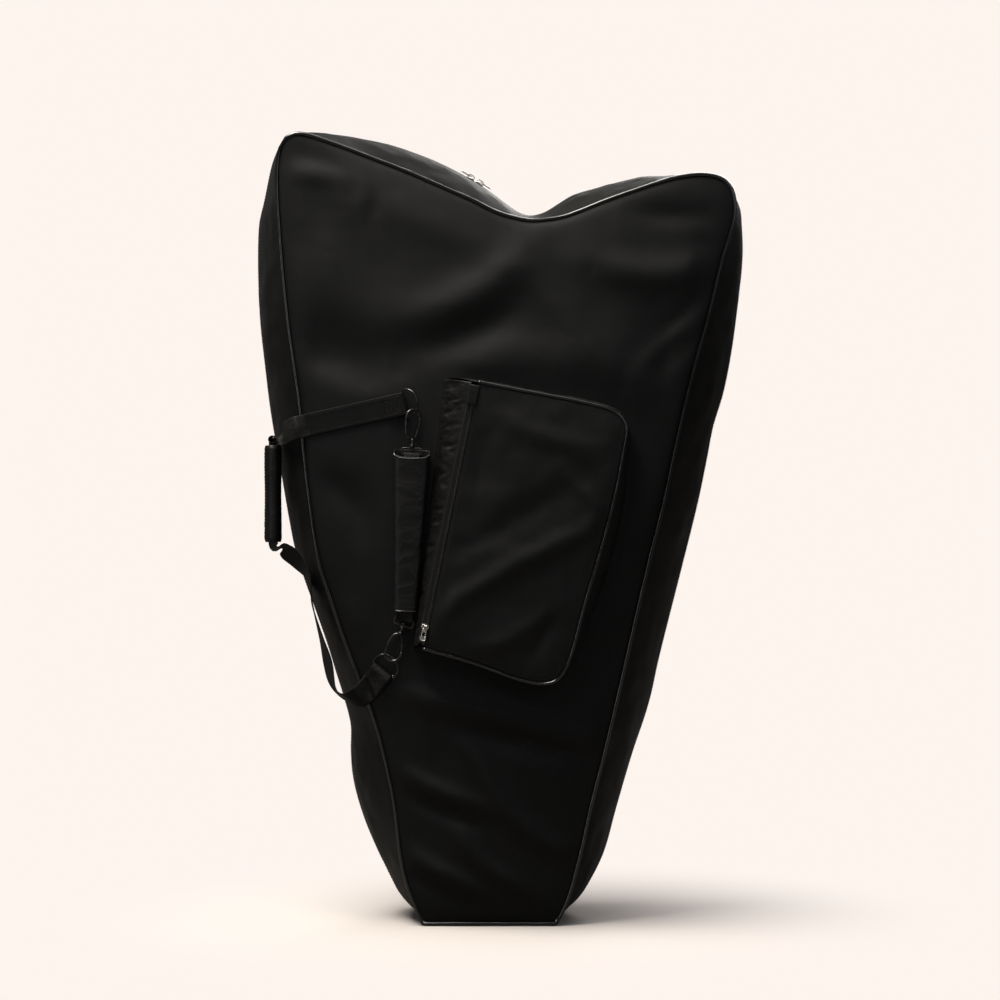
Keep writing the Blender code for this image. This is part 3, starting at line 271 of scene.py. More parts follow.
def ramp(tree, source, stops):
    made = addNode(tree, "ShaderNodeValToRGB", links={"Fac": source})
    spots = made.color_ramp.elements
    while len(spots) < len(stops):
        spots.new(0.5)
    for spot, (where, tint) in zip(spots, stops):
        spot.position = where
        spot.color = tint
    return made.outputs["Color"]


def objectPlace(tree, scale=(1, 1, 1)):
    place = addNode(tree, "ShaderNodeTexCoord")
    return addNode(tree, "ShaderNodeMapping", {"Scale": scale}, {"Vector": place.outputs["Object"]}).outputs[0]


def clothPlace(tree, scale=(1, 1, 1)):
    # Metres along and across the cloth, from the piece's own map
    place = addNode(tree, "ShaderNodeUVMap", {"uv_map": "weave"})
    return addNode(tree, "ShaderNodeMapping", {"Scale": scale}, {"Vector": place.outputs[0]}).outputs[0]


def bands(tree, place, scale, direction):
    return addNode(tree, "ShaderNodeTexWave", {"wave_type": "BANDS", "bands_direction": direction,
                                               "Scale": scale, "Distortion": 0.6, "Detail": 1.0},
                   {"Vector": place}).outputs["Fac"]


def noiseAt(tree, place, scale, detail, roughness=0.5):
    return addNode(tree, "ShaderNodeTexNoise", {"Scale": scale, "Detail": detail, "Roughness": roughness},
                   {"Vector": place}).outputs["Fac"]


def cellsAt(tree, place, size, output, settings):
    cells = addNode(tree, "ShaderNodeTexVoronoi", {**settings, "Scale": 1 / size}, {"Vector": place})
    return cells.outputs[output]


def mathNode(tree, operation, a, b):
    made = addNode(tree, "ShaderNodeMath", {"operation": operation})
    for k, value in enumerate((a, b)):
        if isinstance(value, (int, float)):
            made.inputs[k].default_value = value
        else:
            tree.links.new(value, made.inputs[k])
    return made.outputs[0]


def mixed(tree, a, shareA, b, shareB):
    return mathNode(tree, "ADD", mathNode(tree, "MULTIPLY", a, shareA), mathNode(tree, "MULTIPLY", b, shareB))


def tintAndGloss(tree, shader, tone, stops, rubbed, spread, least):
    # Colour between two tints, and a roughness that follows where the surface is rubbed
    tints = [(where, colour(tint)) for where, tint in stops]
    tree.links.new(ramp(tree, tone, tints), shader.inputs["Base Color"])
    rough = mathNode(tree, "ADD", mathNode(tree, "MULTIPLY", rubbed, spread), least)
    tree.links.new(rough, shader.inputs["Roughness"])


def bump(tree, shader, height, depth, strength=1.0):
    made = addNode(tree, "ShaderNodeBump", {"Strength": strength, "Distance": depth}, {"Height": height})
    tree.links.new(made.outputs["Normal"], shader.inputs["Normal"])


def woven(name, dark, light, pitch, depth, roughness, sheen, ribbed=False, shine=0.16):
    # Warp and weft bands crossed into a weave, over slow changes of tone where the cloth is rubbed
    made, tree, shader = newMaterial(name, {"Sheen Weight": sheen, "Sheen Roughness": 0.4,
                                            "Specular IOR Level": shine})
    place = clothPlace(tree)
    scale = 1 / (pitch * math.pi)
    weft = bands(tree, place, scale, "Y")
    warp = bands(tree, place, scale * (0.5 if ribbed else 1), "X")
    weave = mixed(tree, weft, 0.8, warp, 0.2) if ribbed else mathNode(tree, "MULTIPLY", warp, weft)
    slub = noiseAt(tree, objectPlace(tree), 900, 2)
    wear = noiseAt(tree, objectPlace(tree), 9, 5, 0.6)
    tintAndGloss(tree, shader, mixed(tree, wear, 0.6, weave, 0.4), [(0.2, dark), (0.85, light)],
                 wear, 0.16, roughness - 0.08)
    bump(tree, shader, mathNode(tree, "ADD", weave, mathNode(tree, "MULTIPLY", slub, 0.5)), depth)
    return made


def grained(name, dark, light, grain, depth, roughness, shine=0.5):
    # Small cells with creases between them, as pressed leathercloth has
    made, tree, shader = newMaterial(name, {"Specular IOR Level": shine})
    place = objectPlace(tree)
    grains = cellsAt(tree, place, grain, "Distance", {"feature": "DISTANCE_TO_EDGE"})
    rubbed = noiseAt(tree, place, 25, 6, 0.65)
    tintAndGloss(tree, shader, mixed(tree, rubbed, 0.8, grains, 0.3), [(0.25, dark), (0.8, light)],
                 rubbed, 0.25, roughness - 0.12)
    bump(tree, shader, mixed(tree, grains, 0.7, rubbed, 0.6), depth)
    return made


def metal(name, dark, light, roughness, scratch):
    # Plated metal: fine scratches spread its highlights, and dull spots break up its tone
    made, tree, shader = newMaterial(name, {"Metallic": 1.0})
    place = objectPlace(tree, (1, 1, 3))
    scratches = noiseAt(tree, place, 700, 3)
    dull = noiseAt(tree, place, 90, 4)
    tintAndGloss(tree, shader, dull, [(0.3, dark), (0.75, light)], scratches, scratch, roughness)
    bump(tree, shader, scratches, 0.00003)
    return made


def porous(name, dark, light, pore, depth, roughness):
    # Open cells cut through, as a sheet of foam or pressed fibre shows
    made, tree, shader = newMaterial(name, {"Specular IOR Level": 0.25})
    place = objectPlace(tree)
    pores = cellsAt(tree, place, pore, "Distance", {})
    cloud = noiseAt(tree, place, 30, 5)
    tintAndGloss(tree, shader, cloud, [(0.3, dark), (0.75, light)], pores, 0.15, roughness - 0.1)
    bump(tree, shader, pores, depth)
    return made


# Coated polyester of the panels: near black with a soft low gloss. Its real weave of half a
# millimetre is drawn at 1.6 mm so that it shows.
packCloth = woven("blackOxfordCloth", "030303", "0a0a0a", 0.0016, 0.00020, 0.50, 0.01)
# The same cloth on the top gusset, browner and duller: the brown is partly dust and partly painted light, where
# light grazes the top
topCloth = woven("blackOxfordClothFaded", "040302", "0b0908", 0.0016, 0.00020, 0.56, 0.01, shine=0.08)
# Satin inside: a cooler, lighter black with a silky gloss
liningCloth = woven("blackSatinLining", "0b0b0d", "1c1c20", 0.0012, 0.00010, 0.42, 0.05)
# Straps: dry and matt, ribbed along their length
webbingCloth = woven("ribbedWebbing", "030303", "0b0a0a", 0.0018, 0.00040, 0.58, 0.01, ribbed=True)
# Zip tapes: the dullest cloth, so that the zips read as dark lines
tapeCloth = woven("zipTapeTwill", "040404", "0c0b0b", 0.0012, 0.00020, 0.66, 0.01, ribbed=True)
# Spine, strap pad and grip: a pressed grain with small soft highlights
leatherCloth = grained("grainedLeathercloth", "040404", "0f0e0d", 0.0018, 0.00030, 0.44, 0.26)
# Seam cord: a smooth coating that draws a thin bright line where it faces a light
pipingCloth = grained("coatedPiping", "040404", "0b0a0a", 0.0016, 0.00004, 0.17, 0.70)
# Zip teeth: satin nylon
coilNylon = grained("nylonCoil", "060606", "100f0f", 0.0012, 0.00010, 0.36, 0.35)
# Stitches: a little lighter than the cloth under them
threadNylon = grained("bondedThread", "060606", "12110f", 0.0006, 0.00010, 0.55, 0.25)
# Sliders and pulls: bright, slightly warm and finely scratched
brightNickel = metal("polishedNickel", "b9b6ae", "e6e3da", 0.10, 0.16)
# Rings, hooks and eyes: dark plating that still glints
darkNickel = metal("blackNickel", "2b2a2a", "565452", 0.20, 0.20)
# End stops of the main zip: dulled grey
stopNickel = metal("tumbledNickel", "8c8a84", "c0bdb4", 0.28, 0.20)
# Padding where a half stands open: dull, dark and pitted
padFoam = porous("closedCellFoam", "111111", "222121", 0.0012, 0.00025, 0.90)
# Stiffener in the base: brownish grey fibres
fibreBoard = porous("greyFibreBoard", "37342f", "55514a", 0.0007, 0.00010, 0.85)


# Meshes

def gridMesh(points, uv, closed=False, caps=False):
    # A sheet with a place for each of its crossings; closed joins its last column to its first
    rows, columns = points.shape[0] - 1, points.shape[1] - 1
    bm = bmesh.new()
    bmesh.ops.create_grid(bm, x_segments=rows, y_segments=columns, size=0.5)
    bm.verts.ensure_lookup_table()
    spots = [(round((v.co.x + 0.5) * rows), round((v.co.y + 0.5) * columns)) for v in bm.verts]
    weave = bm.loops.layers.uv.new("weave")
    for v, (i, j) in zip(bm.verts, spots):
        v.co = points[i, j]
        for loop in v.link_loops:
            loop[weave].uv = uv[i, j]
    if closed:
        bmesh.ops.remove_doubles(bm, verts=bm.verts, dist=1e-7)
    if caps:
        bmesh.ops.holes_fill(bm, edges=[e for e in bm.edges if e.is_boundary])
    if closed:
        bmesh.ops.recalc_face_normals(bm, faces=bm.faces)
    return bm


def metres(points):
    # Distances along and across a sheet
    along = np.zeros(points.shape[:2])
    across = np.zeros(points.shape[:2])
    along[1:] = np.cumsum(np.linalg.norm(np.diff(points, axis=0), axis=2), 0)
    across[:, 1:] = np.cumsum(np.linalg.norm(np.diff(points, axis=1), axis=2), 1)
    return np.stack([across, along], -1)


def newObject(bm, name, finish, smooth=True):
    mesh = bpy.data.meshes.new(name)
    bm.to_mesh(mesh)
    bm.free()
    piece = bpy.data.objects.new(name, mesh)
    bpy.context.collection.objects.link(piece)
    mesh.materials.append(finish)
    if smooth:
        mesh.shade_smooth()
    return piece


def fit(piece, body, slot, nodes=()):
    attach(piece, body)
    if nodes:
        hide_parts(*nodes)
    return piece


def face(piece, outward):
    # Turns a sheet's faces so that they look the given way, by a reference direction at each face
    mesh = piece.data
    total = sum(Vector(p.normal).dot(outward(p.center)) for p in list(mesh.polygons)[::37])
    if total < 0:
        mesh.flip_normals()
    return piece


def facing(x, y, z):
    return lambda p: Vector((x, y, z))


coverMiddle = 0.62


def fromMiddle(p):
    # Outward from the cover's upright line through its middle height
    return Vector((p.x, 0, p.z - coverMiddle))


def thicken(piece, thickness, rounding=0):
    step = piece.modifiers.new("Thickness", "SOLIDIFY")
    step.thickness = thickness
    step.offset = -1
    if rounding:
        soft = piece.modifiers.new("Round", "SUBSURF")
        soft.levels = soft.render_levels = rounding
    return piece


def coordinates(piece):
    spots = np.zeros(len(piece.data.vertices) * 3)
    piece.data.vertices.foreach_get("co", spots)
    return spots.reshape(-1, 3)


def setCoordinates(piece, spots):
    piece.data.vertices.foreach_set("co", spots.ravel())
    piece.data.update()


clothSettings = {"quality": 5, "mass": 0.12, "tension_stiffness": 18, "compression_stiffness": 18,
                 "shear_stiffness": 8, "tension_damping": 12, "compression_damping": 12, "shear_damping": 12,
                 "bending_damping": 2, "pin_stiffness": 1}


def relax(piece, held, slack, cap, bending=0.6, frames=18, even=0):
    # Lets the cloth settle between the places where it is held, and keeps its movement small and even
    group = piece.vertex_groups.new(name="held")
    for k, weight in enumerate(held):
        group.add([k], float(weight), "REPLACE")
    step = piece.modifiers.new("Cloth", "CLOTH")
    for key, value in clothSettings.items():
        setattr(step.settings, key, value)
    step.settings.bending_stiffness = bending
    step.settings.vertex_group_mass = "held"
    step.settings.shrink_min = -slack
    step.settings.effector_weights.gravity = 0
    step.point_cache.frame_end = frames
    before = coordinates(piece)
    for number in range(1, frames + 1):
        scene.frame_set(number)
    after = coordinates(piece.evaluated_get(bpy.context.evaluated_depsgraph_get()))
    piece.modifiers.remove(step)
    piece.vertex_groups.remove(group)
    move = after - before
    reach = np.linalg.norm(move, axis=1)
    move *= (np.minimum(1, cap / np.maximum(reach, 1e-9)) * (1 - held))[:, None]
    # Each turn moves a point halfway to what its neighbours do
    ends = np.array([tuple(edge.vertices) for edge in piece.data.edges])
    share = (held < 1)[:, None] / (2 * np.bincount(ends.ravel())[:, None])
    for turn in range(even):
        beside = np.zeros_like(move)
        np.add.at(beside, ends[:, 0], move[ends[:, 1]])
        np.add.at(beside, ends[:, 1], move[ends[:, 0]])
        move = move / 2 + beside * share
    setCoordinates(piece, before + move)
    scene.frame_set(1)
    print("relaxed", piece.name, "most", round(float(reach.max()) * 1000, 1), "mm")


def layer(points, uv, name, finish, outward, thickness, rounding, place, settle=None):
    # One layer of cloth, foam or leather: laid out, turned outward, settled, thickened and fitted
    piece = newObject(gridMesh(points, uv), name, finish)
    face(piece, outward)
    if settle:
        relax(piece, **settle)
    thicken(piece, thickness, rounding)
    fit(piece, *place)
    return piece


def sweep(path, sides, section, closedPath=False, caps=True):
    # A section of (side, lift) pairs carried along a path
    path = np.asarray(path, float)
    sides = np.asarray(sides, float)
    if closedPath:
        path = np.vstack([path, path[:1]])
        sides = np.vstack([sides, sides[:1]])
        way = np.roll(path[:-1], -1, 0) - np.roll(path[:-1], 1, 0)
        way = np.vstack([way, way[:1]])
    else:
        way = np.gradient(path, axis=0)
    way /= np.linalg.norm(way, axis=1)[:, None]
    sides = sides - way * np.sum(sides * way, 1)[:, None]
    sides /= np.linalg.norm(sides, axis=1)[:, None]
    lifts = np.cross(way, sides)
    section = np.asarray(list(section) + [section[0]], float)
    points = (path[:, None] + sides[:, None] * section[None, :, :1] + lifts[:, None] * section[None, :, 1:])
    return gridMesh(points, metres(points), closed=True, caps=caps and not closedPath)


def circle(radius, count=12):
    turns = np.arange(count) * 2 * math.pi / count
    return np.stack([radius * np.cos(turns), radius * np.sin(turns)], 1)


def bandSection(width, thickness):
    # A flat band with rounded edges and slightly raised borders
    half, lift = width / 2, thickness / 2
    spots = [(half * x, lift * h) for x, h in
             ((-1, 0.35), (-0.97, 0.85), (-0.9, 1.05), (-0.8, 0.95), (-0.4, 0.9), (0, 0.88), (0.4, 0.9),
              (0.8, 0.95), (0.9, 1.05), (0.97, 0.85), (1, 0.35))]
    return spots + [(x, -h) for x, h in spots[::-1]]


def arcSides(path, reference):
    return np.broadcast_to(np.asarray(reference, float), np.shape(path)).copy()


def stitchRow(bm, points, normals, pitch=0.0042, length=0.0030, radius=0.00042):
    # Single stitches laid end to end along a line on a surface
    points = np.asarray(points, float)
    normals = np.asarray(normals, float)
    reach = lengthsAlong(points)

    def at(place, table):
        return Vector([np.interp(place, reach, table[:, c]) for c in range(3)])

    for k in range(int(reach[-1] / pitch)):
        place = (k + 0.5) * pitch
        spot, up = at(place, points), at(place, normals)
        way = (at(place + pitch / 2, points) - at(place - pitch / 2, points)).normalized()
        up = (up - way * up.dot(way)).normalized()
        turn = frameAt(spot + up * (radius * 0.4), way, up.cross(way), up)
        size = Matrix.Diagonal((length / 2, radius, radius, 1))
        bmesh.ops.create_icosphere(bm, subdivisions=1, radius=1, matrix=turn @ size)


def surfaceOf(*pieces):
    joined = bmesh.new()
    graph = bpy.context.evaluated_depsgraph_get()
    for piece in pieces:
        joined.from_mesh(piece.evaluated_get(graph).data)
    tree = BVHTree.FromBMesh(joined)
    joined.free()
    return tree


def onFront(tree, flat, lift=0.0):
    # Places on a surface that faces the front, and its normals there
    spots, normals = [], []
    for x, z in flat:
        hit, normal, number, reach = tree.ray_cast(Vector((x, -1, z)), Vector((0, 1, 0)))
        if hit is None:
            hit, normal = Vector((x, -cover["halfDepth"], z)), Vector((0, -1, 0))
        if normal.y > 0:
            normal = -normal
        spots.append(hit + normal * lift)
        normals.append(normal)
    return np.array(spots), np.array(normals)


def rollEdges(bm, offset, segments, leastTurn=1.0):
    # Rounds every edge that turns by more than the given angle
    rims = [e for e in bm.edges if e.calc_face_angle(0) > leastTurn]
    bmesh.ops.bevel(bm, geom=rims, offset=offset, segments=segments, profile=0.5, affect="EDGES", material=-1)


def onNearest(tree, places, outward, lift=0.0):
    # The nearest places on a surface, and its normals there turned the given way
    spots, normals = [], []
    for point in places:
        hit, normal, number, reach = tree.find_nearest(Vector(point))
        normal = normal if normal.dot(outward(Vector(point))) > 0 else -normal
        spots.append(hit + normal * lift)
        normals.append(normal)
    return spots, normals


def sewn(rows, name):
    # Rows of stitches on the front as one piece; a row has its surface, its line and the stitch's size
    stitches = bmesh.new()
    for tree, line, size in rows:
        stitchRow(stitches, *onFront(tree, line), **size)
    fit(newObject(stitches, name, threadNylon), "front_half", "webbing")


def copyOf(node, name, finish, levels=1, crease=50, soften=0.0, shrink=0.0):
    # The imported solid's own mesh, rounded off: for wire and small castings
    bm = bmesh.new()
    bm.from_mesh(frame["nodes"][node].data)
    bmesh.ops.remove_doubles(bm, verts=bm.verts, dist=1e-6)
    bmesh.ops.dissolve_limit(bm, angle_limit=math.radians(2), verts=bm.verts, edges=bm.edges)
    bmesh.ops.recalc_face_normals(bm, faces=bm.faces)
    bm.normal_update()
    steps = [(v, v.normal * shrink) for v in bm.verts]
    for v, step in steps:
        v.co -= step
    if soften:
        sharp = [e for e in bm.edges if e.is_manifold and e.calc_face_angle(0) > math.radians(crease)]
        bmesh.ops.bevel(bm, geom=sharp, offset=soften, segments=2, profile=0.5, affect="EDGES",
                        offset_type="OFFSET", clamp_overlap=True, material=-1)
    piece = newObject(bm, name, finish)
    if levels:
        soft = piece.modifiers.new("Round", "SUBSURF")
        soft.levels = soft.render_levels = levels
    return piece


print("materials and tools ready")


# Front and back panels

pocketCentre = onCover([pocketSize["centre"]])[0]


def onPocket(shares):
    return pocketCentre + np.array([(x * pocketSize["width"], z * pocketSize["height"]) for x, z in shares])


pocketOutline = np.vstack([spline(onPocket(pocketTopShares)), spline(onPocket(pocketRightShares)),
                           spline(onPocket(pocketBaseShares))[::-1], onPocket([pocketRootShares[0]]),
                           onPocket([pocketRootShares[1]])])

# Folds of the front as lines in the picture, with how far each stands out or sinks and its half width
frontFolds = [
    ([(383, 326), (430, 314), (470, 298), (505, 274), (527, 248)], 0.0085, 0.031),
    ([(410, 352), (450, 342), (492, 326), (520, 304)], -0.0050, 0.024),
    ([(450, 374), (500, 358), (560, 358), (632, 376)], 0.0050, 0.034),
    ([(516, 262), (552, 304), (592, 348), (628, 388)], 0.0034, 0.024),
    ([(640, 296), (662, 340), (668, 392)], -0.0045, 0.028),
    ([(588, 262), (624, 272), (660, 276), (696, 270), (724, 264)], 0.0080, 0.024),
    ([(614, 208), (660, 214), (718, 216)], -0.0064, 0.013),
    ([(692, 234), (704, 248), (716, 260)], -0.0026, 0.008),
    ([(738, 290), (700, 302), (668, 330)], -0.0035, 0.012),
    ([(736, 308), (698, 322), (662, 346), (634, 376)], 0.0035, 0.013),
    ([(732, 330), (704, 340), (682, 356)], -0.0030, 0.010),
    ([(728, 348), (700, 356), (672, 380)], 0.0035, 0.010),
    ([(722, 384), (700, 392), (676, 412)], 0.0030, 0.010),
    ([(284, 152), (312, 156), (342, 170)], -0.0060, 0.012),
    ([(286, 174), (318, 174), (350, 178)], 0.0050, 0.013),
    ([(345, 170), (352, 190), (350, 206)], -0.0025, 0.010),
    ([(372, 186), (376, 204), (368, 222)], -0.0022, 0.010),
    ([(318, 178), (400, 206), (480, 238), (548, 254)], 0.0046, 0.032),
    ([(280, 344), (330, 352), (392, 372)], -0.0080, 0.048),
    ([(296, 372), (330, 384), (372, 398)], 0.0024, 0.020),
    ([(392, 690), (440, 703), (505, 716), (575, 738), (606, 738)], 0.0105, 0.015),
    ([(440, 722), (500, 738), (560, 752), (600, 756)], -0.0095, 0.014),
    ([(450, 728), (478, 762), (506, 808), (545, 842), (585, 856)], 0.0090, 0.015),
    ([(398, 770), (440, 792), (498, 812)], 0.0085, 0.013),
    ([(400, 792), (445, 812), (490, 828)], -0.0070, 0.012),
    ([(456, 822), (470, 852), (505, 880), (545, 898)], 0.0075, 0.014),
    ([(404, 852), (450, 878), (500, 900)], 0.0085, 0.013),
    ([(404, 872), (444, 896), (486, 912)], -0.0060, 0.011),
    ([(560, 760), (590, 790), (600, 830)], -0.0045, 0.017),
    ([(310, 470), (350, 500), (372, 560)], -0.0050, 0.022),
    ([(330, 590), (350, 620), (356, 660)], 0.0040, 0.018),
    ([(664, 470), (650, 520), (640, 570)], 0.0045, 0.018),
    ([(640, 600), (622, 640), (612, 690)], -0.0040, 0.018)]


def distanceTo(flat, line):
    # Distance of each place from a line of points, and how far along it is, 0 to 1
    best = np.full(flat.shape[0], 9.0)
    along = np.zeros(flat.shape[0])
    for k, (a, b) in enumerate(zip(line, line[1:])):
        way = b - a
        t = np.clip(((flat - a) @ way) / max(way @ way, 1e-12), 0, 1)
        gap = np.linalg.norm(flat - a - t[:, None] * way, axis=1)
        along = np.where(gap < best, (k + t) / (len(line) - 1), along)
        best = np.minimum(best, gap)
    return best, along


def foldHeights(flat, folds):
    height = np.zeros(flat.shape[0])
    for line, rise, width in folds:
        path = spline(np.array([photoSpot(*spot) for spot in line]), 5)
        gap, along = distanceTo(flat, path)
        taper = np.sin(math.pi * np.clip(along, 0.04, 0.96)) ** 0.7
        height += rise * taper * np.exp(-(gap / width) ** 2)
    return height


def inside(flat, outline):
    # Whether each place lies inside a closed outline
    x, z = flat[:, 0], flat[:, 1]
    crossings = np.zeros(len(flat), int)
    for a, b in zip(outline, np.roll(outline, -1, 0)):
        level = (a[1] > z) != (b[1] > z)
        with np.errstate(divide="ignore", invalid="ignore"):
            at = a[0] + (z - a[1]) / (b[1] - a[1]) * (b[0] - a[0])
        crossings += level & (x < at)
    return crossings % 2 == 1


def clearOfFittings(flat):
    # 0 under the pocket, the sewn webbing and the rings, rising to 1 on the free cloth round them
    gap, along = distanceTo(flat, np.vstack([pocketOutline, pocketOutline[:1]]))
    gap = np.where(inside(flat, pocketOutline), 0, gap)
    free = smoothStep(gap, 0.004, 0.024)
    lines = [([places["upperRoot"], places["upperBar"]], 0.022),
             ([places["lowerRoot"], places["lowerBar"]], 0.022),
             ([places["upperBar"], places["padEnd"], places["lowerBar"]], 0.026)]
    for line, reach in lines:
        gap, along = distanceTo(flat, onCover(line))
        free *= smoothStep(gap, reach, reach + 0.020)
    return free


def coons(left, top, right, base):
    u = np.linspace(0, 1, len(top))[:, None, None]
    v = np.linspace(0, 1, len(left))[None, :, None]
    flat = base[:, None] * (1 - v) + top[:, None] * v + left[None] * (1 - u) + right[None] * u
    flat -= (base[0] * (1 - u) * (1 - v) + base[-1] * u * (1 - v) + top[0] * (1 - u) * v + top[-1] * u * v)
    rise = (16 * u * (1 - u) * v * (1 - v))[..., 0] ** cover["crownPower"]
    return flat, rise


def panelFlat(distance):
    loop = inset(seamLoop, distance, closed=True)
    left = loop[:cornerLeft + 1]
    top = loop[cornerLeft:cornerRight + 1]
    right = loop[cornerRight:pathEnd + 1][::-1]
    base = np.vstack([loop[pathEnd:], loop[:1]])[::-1]
    return coons(left, top, right, base)


def border(shape, reach):
    # 0 at the rim of a sheet, 1 from the given number of cells inward
    i = np.arange(shape[0])[:, None]
    j = np.arange(shape[1])[None, :]
    near = np.minimum(np.minimum(i, shape[0] - 1 - i), np.minimum(j, shape[1] - 1 - j))
    return np.clip(near / reach, 0, 1)


def onSheet(values):
    # Values of a sheet's crossings in the order of its vertices
    return values.T.reshape(-1)


def sheetOf(piece, shape):
    # The settled places of a sheet, row by column
    return coordinates(piece).reshape(shape[1], shape[0], 3).transpose(1, 0, 2)


panelSize = {"inset": 0.0012, "frontWander": 0.0010, "backStreaks": 0.0060, "backWander": 0.0012,
             "rimCells": 7, "leastHeld": 0.10, "fill": 0.55,
             "settle": {"slack": 0.006, "cap": 0.006, "bending": 4, "even": 14}}


def panel(side, label):
    flat, rise = panelFlat(panelSize["inset"])
    spots = flat.reshape(-1, 2)
    if side < 0:
        free = clearOfFittings(spots)
        fold = foldHeights(spots, frontFolds) * free + wander(spots, 5, 3.1) * panelSize["frontWander"] * free
    else:
        free = np.ones(len(spots))
        streaks = np.stack([spots[:, 0] * 9 + spots[:, 1] * 5, spots[:, 1] * 3 - spots[:, 0] * 2], 1)
        fold = wander(streaks, 1.0, 8.4) * panelSize["backStreaks"]
        fold = fold + wander(spots, 14, 2.2) * panelSize["backWander"]
    rim = border(rise.shape, panelSize["rimCells"])
    height = cover["halfDepth"] + cover["crown"] * rise + fold.reshape(rise.shape) * rim
    loose = onSheet((border(rise.shape, 2) > 0.9) * free.reshape(rise.shape))
    held = 1 - (1 - panelSize["leastHeld"]) * loose
    return layer(deep(flat, side * height), flat, label + "PanelCloth", packCloth,
                 facing(0, side, 0), cover["cloth"], 1,
                 (label + "_half", "cloth", [label + "_panel"]),
                 {"held": held, **panelSize["settle"]})


frontPanel = panel(-1, "front")
backPanel = panel(1, "back")
print("panels made")


# Layers under the panels

layerSize = {"foamDepth": 0.0034, "foam": 0.0064, "liningDepth": 0.0101, "lining": 0.0010, "swell": 0.0035,
             "quilt": 0.09}


def layers(side, label, cloth):
    # Each layer follows the settled cloth over it
    flat, rise = panelFlat(cover["piping"] + cover["gap"])
    height = np.abs(sheetOf(cloth, rise.shape)[..., 1])
    points = deep(flat, side * (height - layerSize["foamDepth"]))[::2, ::2]
    layer(points, flat[::2, ::2], label + "FoamSheet", padFoam, facing(0, side, 0), layerSize["foam"], 0,
          (label + "_half", "foam", [label + "_foam"]))
    # Diamond quilting: the lining is stitched down along crossing lines and swells between them
    pitch = math.pi / layerSize["quilt"]
    crossed = (np.sin((flat[..., 0] + flat[..., 1]) * pitch)
               * np.sin((flat[..., 0] - flat[..., 1]) * pitch))
    swell = layerSize["swell"] * np.abs(crossed) ** 0.5 * border(rise.shape, 6)
    points = deep(flat, side * (height - layerSize["liningDepth"] - swell))
    layer(points, flat, label + "QuiltedLining", liningCloth, facing(0, side, 0), layerSize["lining"], 0,
          (label + "_half", "lining", [label + "_lining"]))


layers(-1, "front", frontPanel)
layers(1, "back", backPanel)
print("layers made")


# Gussets, their padding, the piping and the main zip

def wallPoints(first, last, distances, side, outset=0.0):
    # Places round the cover at the given distances behind its seam, standing out by outset
    rows = []
    for distance in distances:
        share = distance / cover["halfDepth"]
        line = seamPath + (crestPath - seamPath) * (1 - (1 - share) ** 2)
        line = line - inwardNormals(line) * outset
        rows.append(deep(line[first:last + 1], side * (cover["halfDepth"] - distance)))
    return np.stack(rows, 1)


def outwardNormals(points):
    normal = np.cross(np.gradient(points, axis=0), np.gradient(points, axis=1))
    normal /= np.maximum(np.linalg.norm(normal, axis=2), 1e-9)[..., None]
    inward = np.sum(normal * (points - np.array([0.0, 0.0, coverMiddle]))) < 0
    return -normal if inward else normal


# Names, first and last cell, cloth, where lengths are joined across, and the way that each part faces
gussetParts = [("gusset_left", "GussetLeft", 0, cornerLeft, packCloth, (0.930, 0.300), fromMiddle),
               ("gusset_top", "GussetTop", cornerLeft, cornerRight, topCloth, (), facing(0, 0, 1)),
               ("gusset_right", "GussetRight", cornerRight, pathEnd, packCloth, (0.965, 0.345), fromMiddle)]
gussetSize = {"start": 0.0010, "overrun": 0.0012, "rows": 18, "pucker": 0.0018, "slow": 0.0016,
              "sink": 0.0006, "give": 1 / 6, "seamStep": 0.0009, "seamDent": 0.0016, "leastHeld": 0.1,
              "fill": 0.45,
              "foamDepth": 0.0030, "foam": cover["padding"] - 0.0018,
              "settle": {"slack": 0.008, "cap": 0.0025, "bending": 0.3, "even": 2}}
zipSize = {"tapeLap": 0.0010, "tapeOver": 0.0006, "tape": 0.0008, "toothPitch": 0.0026, "toothDepth": 0.0017,
           "toothRise": 0.0004, "stagger": 0.00065, "tooth": (0.00062, 0.0015, 0.00095),
           "stitchRows": (0.0055, 0.0025)}


